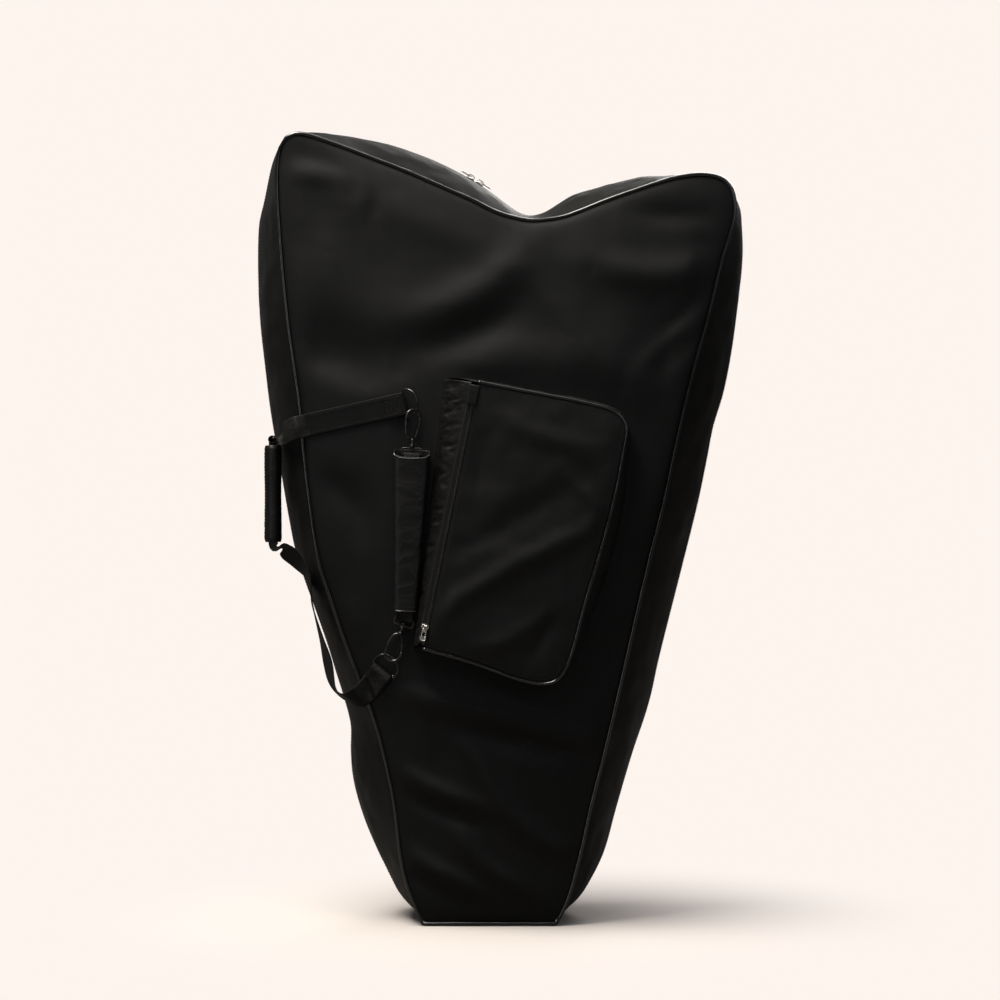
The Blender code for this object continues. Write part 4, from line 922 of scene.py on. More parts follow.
def gusset(side, label, part, name, first, last, finish, joins, outward):
    edge = cover["halfDepth"] - cover["tapeHalf"]
    distances = np.linspace(gussetSize["start"], edge + gussetSize["overrun"], gussetSize["rows"])
    points = wallPoints(first, last, distances, side)
    normal = outwardNormals(points)
    share = np.linspace(0, 1, len(distances))[None, :]
    uv = metres(points)
    puckers = np.stack([uv[..., 1] * 26, uv[..., 0] * 7], -1)
    height = wander(puckers, 1.0, side * 3 + first) * gussetSize["pucker"] * np.sin(math.pi * share) ** 0.6
    slow = np.stack([uv[..., 1] * 7, uv[..., 0] * 3], -1)
    height += wander(slow, 1.0, side * 5 + last) * gussetSize["slow"] * np.sin(math.pi * share)
    for level in joins:
        gap = (points[:, 9, 2] - level)[:, None]
        step = smoothStep(gap, -0.001, 0.001) * (1 - smoothStep(gap, 0.010, 0.040))
        dent = np.exp(-(gap / 0.005) ** 2) * np.sin(math.pi * share) ** 0.5
        height += gussetSize["seamStep"] * step
        height -= gussetSize["seamDent"] * dent
    ends = np.minimum(np.arange(len(points)), np.arange(len(points))[::-1])
    height = height * np.clip(ends / 3, 0, 1)[:, None]
    # The padding behind keeps the cloth from sinking
    height = np.maximum(height, -gussetSize["sink"]) + np.minimum(height, 0) * gussetSize["give"]
    points = points + normal * height[..., None]
    loose = onSheet((border(points.shape[:2], 2) > 0.9).astype(float))
    piece = layer(points, uv, label + name, finish, outward, cover["cloth"], 1,
                  (label + "_half", "cloth", [label + "_" + part]),
                  {"held": 1 - (1 - gussetSize["leastHeld"]) * loose, **gussetSize["settle"]})
    return piece, sheetOf(piece, points.shape[:2])


def zipHalf(side, label, gussets):
    # Tape behind the gusset's edge, half of the teeth, and two rows of stitches
    near = cover["halfDepth"] - cover["tapeHalf"]
    far = cover["halfDepth"] - cover["teethHalf"] + zipSize["tapeOver"]
    tape = wallPoints(0, pathEnd, np.linspace(near - zipSize["tapeLap"], far, 7), side)
    layer(tape, metres(tape), label + "ZipTape", tapeCloth, fromMiddle, zipSize["tape"], 0,
          (label + "_half", "tape", [label + "_zip_tape"]))

    teeth = bmesh.new()
    depth = cover["halfDepth"] - zipSize["toothDepth"]
    line = wallPoints(0, pathEnd, [depth], side, zipSize["toothRise"])[:, 0]
    dense = resample(line, int(lengthsAlong(line)[-1] / zipSize["toothPitch"]))
    for spot, way in zip(dense, np.gradient(dense, axis=0)):
        # The two rows of coil are out of step by half a tooth, so that they mesh
        way = Vector(way).normalized()
        up = way.cross(Vector((0, -1, 0))).normalized()
        turn = frameAt(Vector(spot) + way * (zipSize["stagger"] * side), way, up.cross(way), up)
        size = Matrix.Diagonal((*zipSize["tooth"], 1))
        bmesh.ops.create_icosphere(teeth, subdivisions=1, radius=1, matrix=turn @ size)
    coil = newObject(teeth, label + "ZipCoil", coilNylon)
    fit(coil, label + "_half", "teeth", [label + "_zip_teeth"])

    stitches = bmesh.new()
    tree = surfaceOf(*gussets)
    for distance in zipSize["stitchRows"]:
        line = wallPoints(0, pathEnd, [near - distance], side)[:, 0]
        stitchRow(stitches, *onNearest(tree, line, fromMiddle, 0.0001), pitch=0.0050, length=0.0036)
    fit(newObject(stitches, label + "ZipStitching", threadNylon), label + "_half", "webbing")


def halfShell(side, label):
    made = [gusset(side, label, *part) for part in gussetParts]
    cloth = np.vstack([made[0][1]] + [sheet[1:] for piece, sheet in made[1:]])
    padding = (cloth - outwardNormals(cloth) * gussetSize["foamDepth"])[::2, 2:17:2]
    layer(padding, metres(padding), label + "GussetFoam", padFoam, fromMiddle, gussetSize["foam"], 0,
          (label + "_half", "foam", [label + "_gusset_padding"]))

    # Corded seam: its round core swells and narrows a little where the machine pulled it
    loop = deep(seamLoop, side * cover["halfDepth"])
    sides = np.cross(np.roll(loop, -1, 0) - np.roll(loop, 1, 0), (0, 1, 0))
    cord = sweep(loop, sides, circle(cover["piping"] * 0.97, 10), closedPath=True)
    piping = newObject(cord, label + "PipingCord", pipingCloth)
    spots = coordinates(piping)
    setCoordinates(piping, spots + wander(spots, 60, 4.0)[:, None] * np.array([0.00025, 0.00015, 0.00025]))
    fit(piping, label + "_half", "piping", [label + "_piping"])

    zipHalf(side, label, [piece for piece, sheet in made])


halfShell(-1, "front")
halfShell(1, "back")
print("gussets, piping and main zip made")


# Base

baseSize = {"overWidth": 0.0005, "overDepth": 0.0015, "sag": 0.0005, "lift": 0.0006, "cloth": 0.0022,
            "corner": 0.012}


def base():
    low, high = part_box("base_panel")
    across = np.linspace(low.x - baseSize["overWidth"], high.x + baseSize["overWidth"], 61)
    depth = np.linspace(low.y - baseSize["overDepth"], high.y + baseSize["overDepth"], 71)
    x, y = np.meshgrid(across, depth, indexing="ij")
    spots = np.stack([x, y], -1)
    sag = wander(spots, 24, 5.5) * baseSize["sag"] * border(x.shape, 6)
    points = np.stack([x, y, np.full(x.shape, baseSize["lift"]) + np.abs(sag)], -1)
    layer(points, spots, "baseCloth", packCloth, facing(0, 0, -1), baseSize["cloth"], 1,
          ("back_half", "cloth", ["base_panel"]))
    for node, name, finish, slot, soft in (("base_board", "baseStiffener", fibreBoard, "board", 0.0004),
                                           ("base_pad", "baseFoam", padFoam, "foam", 0.0018)):
        low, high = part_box(node)
        bm = bmesh.new()
        bmesh.ops.create_cube(bm, size=1)
        bmesh.ops.scale(bm, vec=high - low, verts=bm.verts)
        bmesh.ops.translate(bm, vec=(low + high) / 2, verts=bm.verts)
        upright = [e for e in bm.edges if abs(e.verts[0].co.z - e.verts[1].co.z) > 0.001]
        bmesh.ops.bevel(bm, geom=upright, offset=baseSize["corner"], segments=6, profile=0.5, affect="EDGES",
                        material=-1)
        rollEdges(bm, soft, 3)
        slab = newObject(bm, name, finish)
        slab.data.set_sharp_from_angle(angle=math.radians(50))
        fit(slab, "back_half", slot, [node])


base()
print("base made")


# Front pocket

pocketFolds = [
    ([(412, 640), (452, 604), (512, 566), (572, 536), (612, 512)], 0.0046, 0.017),
    ([(440, 560), (500, 528), (560, 494), (600, 462)], -0.0034, 0.020),
    ([(462, 655), (505, 640), (560, 604)], 0.0034, 0.016),
    ([(470, 410), (478, 470), (462, 540)], -0.0026, 0.022),
    ([(500, 420), (552, 440), (600, 452)], 0.0024, 0.016),
    ([(560, 470), (590, 500), (606, 520)], 0.0026, 0.012),
    ([(520, 668), (540, 640), (556, 612)], -0.0024, 0.012)]
slider = {"length": 0.0125, "width": 0.0105, "waist": 0.0080, "thickness": 0.0020, "bridge": 0.0036,
          "bridgeLength": 0.0100, "bridgeWidth": 0.0030, "bridgeThickness": 0.0012}
pull = {"length": 0.0200, "width": 0.0090, "border": 0.0020, "wire": 0.0009, "thumb": 0.0008, "height": 0.0038}
pocketPlane = -(cover["halfDepth"] + cover["crown"] + pocketSize["depth"])
panelTree = surfaceOf(frontPanel)


def plate(segments, placeOf, thickness, roll, steps, spot, name):
    # A flat plate with rolled edges; placeOf gives each point of its outline
    bm = bmesh.new()
    bmesh.ops.create_circle(bm, cap_ends=True, segments=segments, radius=1)
    for k, v in enumerate(bm.verts):
        v.co = placeOf(k, v.co)
    raised = bmesh.ops.extrude_face_region(bm, geom=bm.faces[:])
    bmesh.ops.translate(bm, vec=(0, 0, thickness),
                        verts=[e for e in raised["geom"] if isinstance(e, bmesh.types.BMVert)])
    bmesh.ops.recalc_face_normals(bm, faces=bm.faces)
    rollEdges(bm, roll, steps)
    bmesh.ops.transform(bm, matrix=spot, verts=bm.verts)
    piece = newObject(bm, name, brightNickel)
    piece.data.set_sharp_from_angle(angle=math.radians(50))
    return piece


def sliderPieces(spot, name, body, flipped):
    # A crowned plate with a bridge for its pull
    turn = spot @ Matrix.Rotation(math.pi, 4, "Z") if flipped else spot
    half, waist, reach = slider["width"] / 2, slider["waist"] / 2, slider["length"] / 2
    upperEdge = [(-0.92, waist * 0.8), (-0.3, waist * 0.95), (0.4, half), (0.92, half * 0.8)]
    outline = [(-reach, 0)] + [(reach * x, y) for x, y in upperEdge] + [(reach, 0.0)]
    outline += [(reach * x, -y) for x, y in upperEdge[::-1]] + [(-reach, 0)]
    outline = spline(outline, 4)[:-1]
    top = slider["thickness"] + slider["bridge"] + slider["bridgeThickness"] / 2
    run = slider["bridgeLength"] / 2
    crown = plate(len(outline), lambda k, co: (*outline[k], 0), slider["thickness"], 0.0005, 3, turn,
                  name + "Plate")
    arch = spline([(-run, 0, 0.001), (-run, 0, top * 0.62), (-run * 0.72, 0, top * 0.95), (0, 0, top),
                   (run * 0.72, 0, top * 0.95), (run, 0, top * 0.62), (run, 0, 0.001)], 6)
    section = bandSection(slider["bridgeWidth"], slider["bridgeThickness"])
    strap = sweep(arch, arcSides(arch, (0, 1, 0)), section)
    bmesh.ops.transform(strap, matrix=turn, verts=strap.verts)
    bridge = newObject(strap, name + "Bridge", brightNickel)
    fit(crown, body, "nickel", [body])
    fit(bridge, body, "nickel")


def pullPiece(spot, name, body, way):
    # A wire loop with a flat thumb end
    half = pull["width"] / 2 - pull["wire"]
    centre = way * (pull["length"] / 2 - pull["border"] / 2)
    reach = pull["length"] / 2 - pull["wire"]
    sideShares = [(-1, 0.45), (-0.86, 0.62), (0, 0.80), (0.72, 1), (0.97, 0.62)]
    corners = [(reach * x, -half * y) for x, y in sideShares] + [(reach, 0)]
    corners += [(reach * x, half * y) for x, y in sideShares[::-1]]
    flat = spline([(centre + way * x, y, pull["height"]) for x, y in corners + corners[:1]], 4)[:-1]
    loop = sweep(flat, arcSides(flat, (0, 0, 1)), circle(1, 10) * (0.0007, pull["wire"]), closedPath=True)
    bmesh.ops.transform(loop, matrix=spot, verts=loop.verts)
    fit(newObject(loop, name + "Loop", brightNickel), body, "nickel", [body])
    thumb = plate(24, lambda k, co: (centre + way * (reach * 0.62 + co.x * reach * 0.34), co.y * half * 0.90,
                                     pull["height"] - pull["thumb"] / 2),
                  pull["thumb"], 0.0002, 2, spot, name + "Thumb")
    fit(thumb, body, "nickel")


def coilRow(start, way, out, run, y):
    # Both rows of a closed coil zip, out of step by half a tooth
    bm = bmesh.new()
    pitch, half = pocketCloth["toothPitch"], pocketCloth["toothHalf"]
    for side in (-1, 1):
        for k in range(int(run / pitch)):
            flat = start + way * (k * pitch + (pitch / 2 if side > 0 else 0)) + out * (half * 0.45 * side)
            turn = frameAt(Vector((flat[0], y, flat[1])), Vector((way[0], 0, way[1])),
                           Vector((out[0], 0, out[1])), Vector((0, -1, 0)))
            size = Matrix.Diagonal((pitch * 0.30, half * 0.75, 0.0006, 1))
            bmesh.ops.create_icosphere(bm, subdivisions=1, radius=1, matrix=turn @ size)
    fit(newObject(bm, "pocketZipCoil", coilNylon), "front_half", "teeth", ["pocket_zip_teeth"])


pocketCloth = {"inset": 0.0010, "wander": 0.0010, "face": 0.0024, "leastHeld": 0.08, "cord": 0.0024,
               "wall": 0.0018, "wallSwell": 0.0022, "wallSink": 0.0006, "wallLift": 0.0012, "wallHeld": 0.1,
               "spine": 0.0016, "spineEnd": 0.0025, "spineSwell": 0.0030, "crinkle": 0.0034,
               "tape": 0.0009, "toothPitch": 0.0018, "toothHalf": 0.0020,
               "patch": 0.0011, "patchRun": 0.030, "patchHalf": 0.0080, "patchLift": 0.0022,
               "stitchInset": 0.0065, "zipStitches": (0.0042, 0.0075),
               "settle": {"slack": 0.004, "cap": 0.004, "bending": 4, "even": 10},
               "wallSettle": {"slack": 0.012, "cap": 0.003, "bending": 0.3, "frames": 12, "even": 1}}
seamStitch = {"pitch": 0.0046, "length": 0.0034}
patchStitch = {"pitch": 0.0036, "length": 0.0026, "radius": 0.0003}


def ruled(head, foot, share):
    # A sheet of straight lines from each head to its foot
    return head[:, None] * (1 - share)[None, :, None] + foot[:, None] * share[None, :, None]


def pocketFace(top, right, low, left, route):
    up, across = len(right) - 1, len(top) - 1
    loop = inset(np.vstack([left[:-1], route[:-1]]), pocketCloth["inset"], closed=True)
    flat, rise = coons(loop[:up + 1], loop[up:up + across + 1],
                       loop[up + across:2 * up + across + 1][::-1],
                       np.vstack([loop[2 * up + across:], loop[:1]])[::-1])
    spots = flat.reshape(-1, 2)
    fold = (foldHeights(spots, pocketFolds) + wander(spots, 6, 1.7) * pocketCloth["wander"]).reshape(rise.shape)
    points = deep(flat, pocketPlane - pocketSize["crown"] * rise - fold * border(rise.shape, 8))
    loose = onSheet((border(rise.shape, 2) > 0.9).astype(float))
    return layer(points, flat, "pocketFaceCloth", packCloth, facing(0, -1, 0), pocketCloth["face"], 1,
                 ("front_half", "cloth", ["pocket_face"]),
                 {"held": 1 - (1 - pocketCloth["leastHeld"]) * loose, **pocketCloth["settle"]})


def pocketWalls(route, front, back, up, across):
    share = np.linspace(0, 1, 13)
    bulge = np.sin(math.pi * share)[None, :]
    for part, node, first, last in (("Top", "pocket_wall_top", 0, across),
                                    ("Right", "pocket_wall_right", across, across + up),
                                    ("Base", "pocket_wall_base", across + up, 2 * across + up)):
        foot, normals = onFront(panelTree, back[first:last + 1], -pocketCloth["wallSink"])
        points = ruled(deep(front[first:last + 1], pocketPlane + pocketCloth["wallLift"]), foot, share)
        outward = -inwardNormals(route)[first:last + 1]
        uv = metres(points)
        puckers = wander(np.stack([uv[..., 1] * 30, uv[..., 0] * 12], -1), 1.0, first)
        swell = pocketCloth["wallSwell"] * bulge + puckers * pocketCloth["wallSwell"] * bulge ** 0.7
        points = points + deep(outward, 0.0)[:, None] * swell[..., None]
        loose = onSheet((border(points.shape[:2], 2) > 0.9).astype(float))
        layer(points, uv, "pocketWall" + part, packCloth,
              lambda p: Vector((p.x - pocketCentre[0], 0, p.z - pocketCentre[1])), pocketCloth["wall"], 1,
              ("front_half", "cloth", [node]),
              {"held": 1 - (1 - pocketCloth["wallHeld"]) * loose, **pocketCloth["wallSettle"]})


def pocketSpine(heads, roots, zipWay):
    # Leathercloth behind the zip, creased where the pocket bends on its hinge side
    foot, normals = onFront(panelTree, roots, -0.0004)
    share = np.linspace(0, 1, 25)
    points = ruled(deep(heads, pocketPlane + 0.0010), foot, share)
    uv = metres(points)
    creased = np.stack([uv[..., 1] * 55, uv[..., 0] * 26 + uv[..., 1] * 14], -1)
    crinkle = np.abs(wander(creased, 1.0, 6.0, 4)) * pocketCloth["crinkle"]
    bend = np.sin(math.pi * share)[None, :]
    outward = np.array([-zipWay[1], -0.45, zipWay[0]])
    points = points + outward * (pocketCloth["spineSwell"] * bend - crinkle * bend ** 0.6)[..., None]
    return layer(points, uv, "pocketSpineLeather", leatherCloth, facing(-1, -0.4, 0), pocketCloth["spine"], 1,
                 ("front_half", "leather", ["pocket_spine"]))


def pocketZip(start, run, zipWay, zipOut, near, far):
    # Tape, teeth, and a leather patch over the zip's top end
    along = np.linspace(0, run, 120)[:, None, None]
    across = np.linspace(near - 0.0006, far + 0.0006, 9)[None, :, None]
    flat = start + zipWay * along + zipOut * across
    wave = wander(flat, 40, 2.4) * 0.0003
    layer(deep(flat, pocketPlane - wave), metres(deep(flat, 0.0)), "pocketZipTape", tapeCloth,
          facing(0, -1, 0), pocketCloth["tape"], 0, ("front_half", "tape", ["pocket_zip_tape"]))
    coilRow(start, zipWay, zipOut, run, pocketPlane - 0.0008)
    middle, half = (near + far) / 2, pocketCloth["patchHalf"]
    patchStart = start + zipWay * (run - pocketCloth["patchRun"])
    along = np.linspace(-0.0002, pocketCloth["patchRun"] + 0.0002, 31)[:, None, None]
    across = np.linspace(middle - half, middle + half, 17)[None, :, None]
    flat = patchStart + zipWay * along + zipOut * across
    lift = (pocketCloth["patchLift"] + 0.0010 * border(flat.shape[:2], 4) ** 0.5
            + wander(flat, 120, 3.3) * 0.0003)
    patch = layer(deep(flat, pocketPlane - lift), flat, "pocketZipPatch", leatherCloth, facing(0, -1, 0),
                  pocketCloth["patch"], 1, ("front_half", "leather", ["pocket_zip_patch"]))
    ring = np.array([(0.002, -0.006), (0.028, -0.006), (0.028, 0.006), (0.002, 0.006), (0.002, -0.006)])
    return patch, patchStart + zipWay * ring[:, :1] + zipOut * (ring[:, 1:] + middle)


def pocketCord(route, zipWay):
    path = deep(route, pocketPlane)
    path[0] += np.array([zipWay[0], 0, zipWay[1]]) * -0.001
    sides = np.cross(np.gradient(path, axis=0), (0, 1, 0))
    cord = newObject(sweep(path, sides, circle(pocketCloth["cord"], 10)), "pocketPipingCord", pipingCloth)
    spots = coordinates(cord)
    setCoordinates(cord, spots + wander(spots, 70, 9.0)[:, None] * 0.00022)
    fit(cord, "front_half", "piping", ["pocket_piping"])


def pocket():
    up, across = 88, 64
    top = evenly(onPocket(pocketTopShares), across)
    right = evenly(onPocket(pocketRightShares), up)
    low = evenly(onPocket(pocketBaseShares), across)
    zipLow, zipTop = low[0], top[0]
    left = np.linspace(zipLow, zipTop, up + 1)
    route = rounded(np.vstack([top[:-1], right[:-1], low[::-1]]), (across, across + up), turns=4)
    faceTree = surfaceOf(pocketFace(top, right, low, left, route))

    edge = pocketSize["piping"] + cover["gap"]
    zipWay = (zipTop - zipLow) / np.linalg.norm(zipTop - zipLow)
    zipOut = np.array([-zipWay[1], zipWay[0]])
    pocketCord(route, zipWay)

    beside = zipOut * (pocketSize["tape"] - edge)
    rootLow, rootTop = onPocket(pocketRootShares)
    front = np.vstack([[zipTop + beside], route[1:-1], [zipLow + beside]])
    spread = np.zeros(len(route))
    spread[across:across + up + 1] = np.sin(math.pi * np.arange(up + 1) / up)
    outset = pocketSize["flare"] + pocketSize["rightFlare"] * spread
    back = np.vstack([[rootTop], inset(route, -outset[:, None])[1:-1], [rootLow]])
    pocketWalls(route, front, back, up, across)

    short = zipWay * pocketCloth["spineEnd"]
    heads = np.linspace(zipLow + beside + short, zipTop + beside - short, up * 2 + 1)
    roots = np.linspace(rootLow + short, rootTop - short, up * 2 + 1)
    spineTree = surfaceOf(pocketSpine(heads, roots, zipWay))

    margin = edge + cover["gap"] + pocketSize["wall"]
    run = np.linalg.norm(zipTop - zipLow) - 2 * margin
    patch, ring = pocketZip(zipLow + zipWay * margin, run, zipWay, zipOut, -(edge - cover["gap"]),
                            pocketSize["tape"] - edge - cover["gap"])

    seams = [inset(top, pocketCloth["stitchInset"])[2:], inset(right, pocketCloth["stitchInset"]),
             inset(low[::-1], pocketCloth["stitchInset"])[:-2]]
    seams += [(np.linspace(zipLow, zipTop, 90) - zipOut * gap)[2:-2] for gap in pocketCloth["zipStitches"]]
    rows = [(faceTree, line, seamStitch) for line in seams]
    sewn(rows + [(surfaceOf(patch), resample(ring, 60), patchStitch)], "pocketStitching")
    sewn([(spineTree, (heads * (1 - part) + roots * part)[3:-3], seamStitch) for part in (0.10, 0.90)],
         "spineStitching")


def pocketSlider():
    along = Vector(joints["pocket_slider_travel"]["axis"])
    upward = Vector((0, -1, 0))
    origin = Vector(joints["pocket_pull_swing"]["pos_m"]) - upward * pull["height"]
    spot = frameAt(origin, along, upward.cross(along), upward)
    sliderPieces(spot, "pocketSlider", "pocket_slider", False)
    pullPiece(spot, "pocketPull", "pocket_pull", -1)


pocket()
pocketSlider()
print("pocket made")


# Main zip sliders

def mainSliders():
    centre = Vector((arcCentre[0], 0, arcCentre[1]))
    for side, way in (("left", -1), ("right", 1)):
        pivot = Vector(joints["zip_pull_" + side + "_swing"]["pos_m"])
        up = (pivot - centre).normalized()
        spot = frameAt(pivot - up * pull["height"], Vector((up.z, 0, -up.x)), Vector((0, 1, 0)), up)
        sliderPieces(spot, "zipSlider" + side.capitalize(), "zip_slider_" + side, way > 0)
        pullPiece(spot, "zipPull" + side.capitalize(), "zip_pull_" + side, way)
        stop = copyOf("zip_stop_" + side, "zipStop" + side.capitalize(), stopNickel, levels=1, soften=0.0004)
        fit(stop, "back_half", "nickel", ["zip_stop_" + side])


mainSliders()
print("sliders made")


# Sewn webbing, D-rings and handle

webbing = {"width": 0.0340, "thickness": 0.0020, "fold": 0.0300, "lift": 0.00095, "foldLift": 0.00175,
           "wire": 0.0018,
           "legStep": 0.005, "root": 0.012, "stitchInset": 0.004, "boxStart": 0.006, "boxEnd": 0.026,
           "stitch": {"pitch": 0.0050, "length": 0.0038, "radius": 0.0005}}
grip = {"length": 0.1460, "width": 0.0130, "depth": 0.0210, "skin": 0.0018, "overrun": 0.0020, "crease": 0.0003,
        "waist": 0.05, "ends": 0.10, "roll": (0.0058, 0.0052), "rollDrop": 0.0015, "rollWidth": 0.033,
        "rollThickness": 0.0018, "stitch": {"pitch": 0.0050, "length": 0.0036}}
gripCentre = (-0.4665, -0.346, 0.5424)
# Where the free webbing runs and which way its width lies
handleBandShares = [
    ((-0.4650, -0.346, 0.6125), (0.0, 1.0, 0.0)), ((-0.4560, -0.350, 0.6140), (0.0, 1.0, 0.1)),
    ((-0.4460, -0.380, 0.6165), (-0.3, 0.8, 0.4)), ((-0.4360, -0.440, 0.6200), (-0.3, 0.4, 0.8)),
    ((-0.4240, -0.495, 0.6235), (-0.15, 0.1, 1.0)), ((-0.4130, -0.530, 0.6258), (-0.2, 0.0, 1.0)),
    ((-0.4010, -0.537, 0.6270), (-0.22, 0.0, 1.0))]
handleLowerShares = [
    ((-0.446, -0.346, 0.4745), (0.4, -0.85, 0.2)), ((-0.437, -0.348, 0.468), (0.55, -0.7, 0.5)),
    ((-0.415, -0.352, 0.456), (0.45, -0.75, 0.5)), ((-0.390, -0.356, 0.432), (0.15, -1.0, 0.1)),
    ((-0.384, -0.358, 0.402), (0.05, -1.0, 0.0)), ((-0.365, -0.358, 0.359), (0.2, -0.95, 0.1)),
    ((-0.352, -0.380, 0.330), (0.40, -0.88, 0.12)), ((-0.342, -0.415, 0.306), (0.3, -0.9, 0.15)),
    ((-0.327, -0.455, 0.290), (-0.1, -0.9, 0.3)), ((-0.306, -0.500, 0.283), (-0.5, -0.5, 0.5)),
    ((-0.288, -0.534, 0.285), (-0.7, -0.2, 0.65)), ((-0.274, -0.541, 0.291), (-0.3, 0.0, 0.9))]
bandShape = np.array(bandSection(webbing["width"], webbing["thickness"]))


def unit(vectors):
    return vectors / np.linalg.norm(vectors, axis=-1)[..., None]


def loft(centres, sides, lifts, section):
    section = np.vstack([section, section[:1]])
    points = (centres[:, None] + sides[:, None] * section[None, :, :1] + lifts[:, None] * section[None, :, 1:])
    return gridMesh(points, metres(points), closed=True, caps=True)


def legFrame(rootShare, barShare):
    root, bar = onCover([rootShare])[0], onCover([barShare])[0]
    way = (bar - root) / np.linalg.norm(bar - root)
    square = np.array([-way[1], way[0]])
    upperRoot, lowerRoot = onCover([places["upperRoot"], places["lowerRoot"]])
    lean = (upperRoot - lowerRoot) / np.linalg.norm(upperRoot - lowerRoot)
    return root, bar, way, square, (lean @ way) / (lean @ square)


def legRows(label, rootShare, barShare):
    # The sewn leg, its turn round the D-ring and the folded end on top, as cross sections
    root, bar, way, square, skew = legFrame(rootShare, barShare)
    count = max(8, round(np.linalg.norm(bar - root) / webbing["legStep"]))
    thickness = webbing["thickness"]
    rows = []
    for k in range(count):
        share = k / count
        side = square + way * (skew * (1 - share))
        spots, normals = onFront(panelTree, root + (bar - root) * share + side * bandShape[:, :1],
                                 webbing["lift"] + thickness / 2)
        rows.append(spots + normals * bandShape[:, 1:])
    joint = joints["d_ring_" + label + "_swing"]
    centre, across = np.array(joint["pos_m"]), -np.array(joint["axis"])
    ahead, normals = onFront(panelTree, [bar, bar - way * webbing["width"] / 2])
    along = ahead[0] - ahead[1]
    along = unit(along - across * (along @ across))
    out = np.cross(along, across)
    radius = webbing["wire"] + cover["gap"] + thickness / 2
    for turn in math.pi * (np.arange(17) / 16 - 0.5):
        wrap = along * math.cos(turn) + out * math.sin(turn)
        rows.append(centre + wrap * radius + across * bandShape[:, :1] - wrap * bandShape[:, 1:])
    folds = max(4, round(webbing["fold"] / webbing["legStep"]))
    for k in range(1, folds + 1):
        share = k / folds
        spot = bar - way * (webbing["fold"] * 0.95 * share)
        side = square + way * (skew * (1 - (count - k) / count))
        lift = webbing["foldLift"] + thickness * 1.5 + 2 * radius * (1 - share) ** 1.6 * 0.8
        spots, normals = onFront(panelTree, spot + side * bandShape[:, :1], lift)
        rows.append(spots - normals * bandShape[:, 1:])
    return np.stack(rows)


def leg(label, rootShare, barShare):
    root, bar, way, square, skew = legFrame(rootShare, barShare)
    rows = legRows(label, rootShare, barShare)
    points = np.concatenate([rows, rows[:, :1]], 1)
    # The folded end has its own thickness of sewing and never lies quite flat
    points[..., 1] -= 0.0003 * np.abs(wander(points, 60, 4.4))
    mesh = gridMesh(points, metres(points), closed=True, caps=True)
    piece = newObject(mesh, "webbingLeg" + label.capitalize(), webbingCloth)
    fit(piece, "front_half", "webbing", ["handle_leg_" + label])

    tree = surfaceOf(piece)
    edge = webbing["width"] / 2 - webbing["stitchInset"]
    lines = [np.linspace(root + way * 0.004, bar - way * 0.008, 40) + square * side for side in (-edge, edge)]
    # A box with a cross in it holds the folded end
    near, far, half = webbing["boxStart"], webbing["boxEnd"], webbing["width"] / 2 - 0.005
    box = [(near, -half), (far, half), (near, half), (far, -half), (near, -half), (near, half), (far, half),
           (far, -half)]
    lines.append(resample(np.array([bar - way * a + square * b for a, b in box]), 120))
    sewn([(tree, line, webbing["stitch"]) for line in lines], "legStitching" + label.capitalize())
    ring = copyOf("d_ring_" + label, "dRing" + label.capitalize(), darkNickel, levels=1)
    fit(ring, "d_ring_" + label, "gunmetal", ["d_ring_" + label])


leg("upper", places["upperRoot"], places["upperBar"])
leg("lower", places["lowerRoot"], places["lowerBar"])


def onSides(share):
    return np.array((share[0] * cover["width"], share[1] * cover["halfDepth"] * 2,
                     cover["seamHeight"] + share[2] * cover["height"]))


def freeBand(points, sides, rootShare, barShare, name, nodes=()):
    # Free webbing that comes down edge to edge on the sewn leg
    root, bar, way, square, skew = legFrame(rootShare, barShare)
    spots, normals = onFront(panelTree, [root, root + way * webbing["root"]],
                             webbing["lift"] + webbing["thickness"] / 2)
    side = deep((square + way * skew)[None], 0.0)[0]
    path = spline(np.vstack([points, spots[:1]]), 8)
    guides = spline(np.vstack([sides, [side]]), 8)
    ways = unit(np.gradient(path, axis=0))
    guides = unit(guides - ways * np.sum(guides * ways, 1)[:, None])
    lifts = unit(np.cross(ways, guides))
    near = smoothStep(np.arange(len(path)), len(path) - 7, len(path) - 1)[:, None]
    guides = guides * (1 - near) + side * near
    lifts = unit(lifts * (1 - near) + normals[0] * near)
    band = newObject(loft(path, guides, lifts, bandShape), name, webbingCloth)
    fit(band, "handle", "webbing", nodes)


